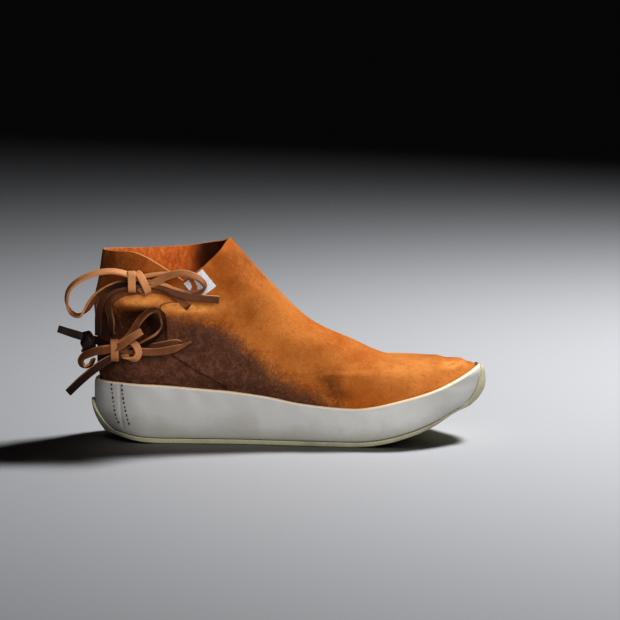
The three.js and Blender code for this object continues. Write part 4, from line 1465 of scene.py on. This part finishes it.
def add_upper():
    """Suede upper: one sheet from under the flap, round the heel and the toe, to the flap's free edge."""
    s = sizes()
    columns, rows = ((420, 84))
    share = even_shares(columns)[None]
    level = np.linspace(0, 1, rows)[:, None]
    edge = flap_edge(level)
    sheet_k = mix(edge + UNDER_REACH, edge - COUNT, share)
    k = np.where(sheet_k < -AROUND, sheet_k + COUNT, sheet_k)
    level = np.broadcast_to(level, k.shape)
    on_top = sheet_k < -AROUND
    past = (k - edge) / FLAP_REACH
    held = ease(0, 0.12, level)
    step = s.leather + GAP
    lifted = FLAP_LIFT["rise"] * MM * np.exp(-(past / FLAP_LIFT["reach"]) ** 2)
    lifted = lifted * ease(0.3, 0.5, level) * (1 - ease(0.82, 0.95, level))
    over = (step * held * (1 - ease(0.5, 1, past)) + lifted) * on_top
    beneath = -step * (1 - held) * ease(-0.5, 0.05, past) * ~on_top
    points = smooth_point(k, level)
    out = over + beneath + ease(0.02, 0.12, level) * crease_rise(points)
    wavy = COLLAR_WAVE * MM * np.sin(sheet_k * 0.9 + 1) * ease(0.8, 1, level)
    outer = leather_point(k, level, out + wavy)
    rim_k = k[0]
    inside = s.cup_wall + GAP + np.maximum(0, -beneath[0])
    below = []
    for t in np.linspace(0, 0.9, 5):
        height = mix(bed_top(station(rim_k)[0]) + GAP, cup_top(rim_k), t)
        below.append(wall_point(rim_k, height, inside))
    piece = laid_grid("upper_leather", np.concatenate([np.array(below), outer]))
    middle = rows // 2, columns // 2
    facing = piece.data.polygons[middle[0] * (columns - 1) + middle[1]].normal
    above = middle[0] - len(below), middle[1]
    if np.dot(facing, direction(k[above], level[above])) < 0:
        edit(piece, (bpy.ops.mesh.flip_normals, {}))
    for material in ("suede", "lining", "cut"):
        piece.data.materials.append(finish(material))
    modified(piece, "SOLIDIFY", thickness=s.leather, offset=-1, material_offset=1, material_offset_rim=2)
    modified(piece, "BEVEL", width=0.5 * MM, segments=2, limit_method="ANGLE", angle_limit=radians(60))
    cut_slots(piece)
    points = np.array([vertex.co for vertex in piece.data.vertices])
    give(piece, "stain", stained(points))
    # Smudges, and painted shade in the hollow under the swell.
    give(piece, "smudge_and_shade", patches(points, SMUDGES_AND_SHADE))
    # Rubs, and painted highlights on the swell and the flap's band.
    give(piece, "rub_and_highlight", patches(points, RUBS_AND_HIGHLIGHTS))
    # Painted shade in the lining's front corner.
    ahead, up = ease(*CORNER_SHADE["ahead"], points[:, 0]), ease(*CORNER_SHADE["up"], points[:, 2])
    give(piece, "corner_shade", ahead * up)
    return finished(smooth(piece, 50), "suede", replaces=("upper",))


def cut_slots(piece):
    """Cuts the four slots for the thongs right through the leather."""
    s = sizes()
    for a, u, turn in zip(SLOTS["along"], SLOTS["up"], SLOTS["turn"]):
        k, level = find_places(a, u)
        clear()
        scale = (SLOT_CUT["long"] * MM, SLOT_CUT["wide"] * MM, 9 * s.leather)
        bpy.ops.mesh.primitive_cube_add(size=1, scale=scale)
        cutter = bpy.context.object
        cutter.rotation_mode = "QUATERNION"
        outwards = Vector((0, 0, 1)).rotation_difference(Vector(direction(k, level)[0]))
        cutter.rotation_quaternion = outwards @ Quaternion((0, 0, 1), turn)
        cutter.location = leather_point(k, level)[0]
        modified(piece, "BOOLEAN", object=cutter, operation="DIFFERENCE", solver="EXACT")
        bpy.data.objects.remove(cutter)


# Tag and stitches.

# The tag: its sizes in millimetres, its place in shares of the length and the collar height, its turn.
TAG = {"length": 16.6, "height": 17.2, "thick": 0.6, "along": 0.2803, "up": 0.793, "turn": -0.91}


def add_tag():
    """Blank woven tag below the collar, with its corners a little raised."""
    s = sizes()
    steps = np.linspace(-0.5, 0.5, 17)
    u, v = np.meshgrid(steps, steps)
    across, down = u * TAG["length"], v * TAG["height"]
    dx = (across * cos(TAG["turn"]) - down * sin(TAG["turn"])) * MM / s.length
    dz = (across * sin(TAG["turn"]) + down * cos(TAG["turn"])) * MM / s.collar_height
    k, level = find_places(TAG["along"] + dx, TAG["up"] + dz)
    curl = 1.6 * np.maximum(0, u + v) ** 2 + 0.5 * np.abs(u * v)
    out = s.leather + GAP + (0.5 + curl.ravel()) * MM
    points = leather_point(k, level, out).reshape(*u.shape, 3)
    piece = laid_grid("tag_tape", points)
    if piece.data.polygons[0].normal.y > 0:
        edit(piece, (bpy.ops.mesh.flip_normals, {}))
    modified(piece, "SOLIDIFY", thickness=TAG["thick"] * MM, offset=-1)
    return finished(smooth(piece), "tag_cloth", finish("tag"), replaces=("tag",))


# Rows of stitches on the cup's heel: from the top down, shares of the length and the collar height.
SEAM = {
    "front": [(0.084, 0.296), (0.0845, 0.27), (0.089, 0.206), (0.099, 0.116), (0.104, 0.09)],
    "back": [(0.057, 0.294), (0.0572, 0.27), (0.061, 0.214), (0.068, 0.128), (0.078, 0.092)],
}

SEAM_STITCH = {"count": 10, "step": 0.25, "radius": 0.6, "uneven": 0.14}

# Stitches that hold the toe's tab: stations from the toe's middle, and each one's path over the rim as
# heights and ways inside, in millimetres.
TOE_STITCHES = (-0.9, 0, 0.9)
TOE_STITCH = {"step": 0.6, "radius": 0.3}
OVER_RIM = [(-0.6, 0.7), (0.15, 1.4), (0.35, 2.4), (-0.2, 3.6), (-1.6, 4.2)]


def tube(name, points, radius):
    """A round thread through points, with closed ends."""
    points = np.asarray(points)
    ahead = np.gradient(points, axis=0)
    ahead /= np.linalg.norm(ahead, axis=-1, keepdims=True)
    up = np.cross(ahead, (0.3, 0.5, 0.8))
    up /= np.linalg.norm(up, axis=-1, keepdims=True)
    across = np.cross(ahead, up)
    turn = np.linspace(0, 2 * pi, 9)[None, :, None]
    ring = across[:, None] * np.cos(turn) + up[:, None] * np.sin(turn)
    thickness = radius * np.sqrt(np.clip(1 - np.linspace(-1, 1, len(points)) ** 8, 0, 1))
    return closed(laid_grid(name, points[:, None] + ring * thickness[:, None, None]))


def joined(name, pieces):
    clear()
    for piece in pieces:
        piece.select_set(True)
    bpy.context.view_layer.objects.active = pieces[0]
    bpy.ops.object.join()
    pieces[0].name = pieces[0].data.name = name
    return pieces[0]


def wall_places(along_share, up_share):
    """Stations of the outer side, and heights, for places on the cup's wall."""
    s = sizes()
    x, z = (along_share - 0.5) * s.length, up_share * s.collar_height
    k = np.linspace(0, AROUND, 1200)
    return np.interp(x, wall_point(k, np.broadcast_to(np.mean(z), k.shape))[:, 0], k), z


def add_seam():
    """Two rows of waxed stitches up the cup's heel, and the stitches that hold the toe's tab."""
    s = sizes()
    scale = (s.length / MM, s.collar_height / MM, 1)
    count = SEAM_STITCH["count"]
    stitches = []
    for row in SEAM.values():
        line = smooth_route(np.array([(a, u, 0) for a, u in row]) * scale, SEAM_STITCH["step"]) / scale
        for i in range(count):
            start, stop = i + 0.1 + 0.06 * sin(i * 1.7), i + 0.86 + 0.07 * sin(i * 2.9)
            part = line[int(len(line) * start / count):int(len(line) * stop / count)]
            lift = 0.45 * np.sin(np.linspace(0, pi, len(part))) ** 0.5 - 0.35
            points = []
            for (a, u, _), out in zip(part[::2], lift[::2]):
                points.append(wall_point(*wall_places(a, u), -out * MM))
            thick = SEAM_STITCH["radius"] + SEAM_STITCH["uneven"] * sin(i * 2.3)
            stitches.append(tube("stitch", points, thick * MM))
    for turn in TOE_STITCHES:
        k = AROUND + turn
        high = cup_top(np.array([k]))[0]
        points = [wall_point(k, high + up * MM, inside * MM) for up, inside in OVER_RIM]
        points = smooth_route(points, TOE_STITCH["step"] * MM)
        stitches.append(tube("stitch", points, TOE_STITCH["radius"] * MM))
    piece = joined("cup_seam_stitches", stitches)
    return finished(smooth(piece), None, finish("thread"))


# Stage.

# Lights: place, the point aimed at, and the width of the square lamp, in metres; its spread in degrees.
KEY = {"place": (0.7, 0.6, 1.25), "target": (0.12, -0.25, 0), "width": 0.3, "spread": 150}
FRONT = {"place": (0.25, -1.35, 0.55), "target": (0, 0, 0.08), "width": 1.1, "spread": 180}
VIEWED = (0.01641, 0, 0.09708)
FLOOR_WIDTH = 40
GLOW = 0.008


def add_light(name, lamp, watts):
    clear()
    bpy.ops.object.light_add(type="AREA", location=lamp["place"])
    light = bpy.context.object
    light.name = name
    aim = Vector(lamp["target"]) - Vector(lamp["place"])
    light.rotation_euler = aim.to_track_quat("-Z", "Y").to_euler()
    light.data.shape = "SQUARE"
    light.data.size = lamp["width"]
    light.data.spread = radians(lamp["spread"])
    light.data.energy = watts
    return light


def add_stage():
    """Floor, lights and the view of the photo."""
    stage = bpy.context.scene.boot_stage
    clear()
    bpy.ops.mesh.primitive_plane_add(size=FLOOR_WIDTH)
    floor = bpy.context.object
    floor.name = "floor"
    floor.data.materials.append(finish("floor"))
    add_light("key", KEY, stage.key)
    front = add_light("front", FRONT, stage.front)
    unlit = bpy.data.collections.new("floor_only")
    unlit.objects.link(floor)
    front.light_linking.receiver_collection = unlit
    unlit.collection_objects[0].light_linking.link_state = "EXCLUDE"
    world = bpy.data.worlds.new("studio")
    bpy.context.scene.world = world
    world.use_nodes = True
    background = world.node_tree.nodes["Background"]
    background.inputs["Color"].default_value = (1, 1, 1, 1)
    background.inputs["Strength"].default_value = GLOW
    flat = cos(stage.rise)
    view = Vector((sin(stage.turn) * flat, cos(stage.turn) * flat, -sin(stage.rise)))
    clear()
    bpy.ops.object.camera_add(location=Vector(VIEWED) - view * stage.distance)
    camera = bpy.context.object
    camera.rotation_euler = view.to_track_quat("-Z", "Y").to_euler()
    camera.data.lens = stage.lens
    bpy.context.scene.camera = camera
    bpy.context.scene.view_settings.view_transform = "Standard"
    bpy.context.scene.view_settings.look = "High Contrast"


class MakeStage(bpy.types.Operator):
    """Add the floor, the lights and the camera"""

    bl_idname = "boot.make_stage"
    bl_label = "Stage"

    def execute(self, context):
        add_stage()
        return {"FINISHED"}


class MakeBows(bpy.types.Operator):
    """Add the two bows with their knots, loops and ends"""

    bl_idname = "boot.make_bows"
    bl_label = "Bows"

    def execute(self, context):
        add_bow("upper", UPPER_BOW, "upper_bow")
        add_bow("lower", LOWER_BOW, "lower_bow")
        return {"FINISHED"}


class MakeStraps(bpy.types.Operator):
    """Add the straps that pass through the slots"""

    bl_idname = "boot.make_straps"
    bl_label = "Straps"

    def execute(self, context):
        # The last numbers: oil and painted shade, darker towards the heel end.
        add_strap("upper_strap_thong", UPPER_STRAP, "upper_strap", (-0.2, 0.9))
        add_strap("lower_strap_thong", LOWER_STRAP, "lower_strap", (0.3, 0.8))
        return {"FINISHED"}


class MakeSole(bpy.types.Operator):
    """Add the outsole, the cup and the insole"""

    bl_idname = "boot.make_sole"
    bl_label = "Sole"

    def execute(self, context):
        add_outsole()
        add_cup()
        add_insole()
        return {"FINISHED"}


class MakeSeam(bpy.types.Operator):
    """Add the stitches on the cup's heel"""

    bl_idname = "boot.make_seam"
    bl_label = "Cup seam"

    def execute(self, context):
        add_seam()
        return {"FINISHED"}


class MakeUpper(bpy.types.Operator):
    """Add the suede upper"""

    bl_idname = "boot.make_upper"
    bl_label = "Upper"

    def execute(self, context):
        add_upper()
        return {"FINISHED"}


class MakeTag(bpy.types.Operator):
    """Add the blank tag"""

    bl_idname = "boot.make_tag"
    bl_label = "Tag"

    def execute(self, context):
        add_tag()
        return {"FINISHED"}


OPERATORS = (MakeStage, MakeBows, MakeStraps, MakeSole, MakeSeam, MakeUpper, MakeTag)


class BootPanel(bpy.types.Panel):
    """Makes the boot piece by piece"""

    bl_idname = "BOOT_PT_panel"
    bl_label = "Moccasin boot"
    bl_space_type = "VIEW_3D"
    bl_region_type = "UI"
    bl_category = "Boot"

    def draw(self, context):
        for operator in OPERATORS:
            self.layout.operator(operator.bl_idname)
        for group in (context.scene.boot_sizes, context.scene.boot_colours, context.scene.boot_stage):
            box = self.layout.box()
            for name in group.bl_rna.properties.keys():
                if name not in ("rna_type", "name"):
                    box.prop(group, name)


CLASSES = (BootSizes, BootColours, BootStage, *OPERATORS, BootPanel)


def register():
    for cls in CLASSES:
        bpy.utils.register_class(cls)
    bpy.types.Scene.boot_sizes = bpy.props.PointerProperty(type=BootSizes)
    bpy.types.Scene.boot_colours = bpy.props.PointerProperty(type=BootColours)
    bpy.types.Scene.boot_stage = bpy.props.PointerProperty(type=BootStage)


def unregister():
    del bpy.types.Scene.boot_stage
    del bpy.types.Scene.boot_colours
    del bpy.types.Scene.boot_sizes
    for cls in reversed(CLASSES):
        bpy.utils.unregister_class(cls)


def main():
    register()
    bpy.ops.boot.make_stage()
    bpy.ops.boot.make_bows()
    bpy.ops.boot.make_straps()
    bpy.ops.boot.make_sole()
    bpy.ops.boot.make_seam()
    bpy.ops.boot.make_upper()
    bpy.ops.boot.make_tag()


if __name__ == "__main__":
    main()
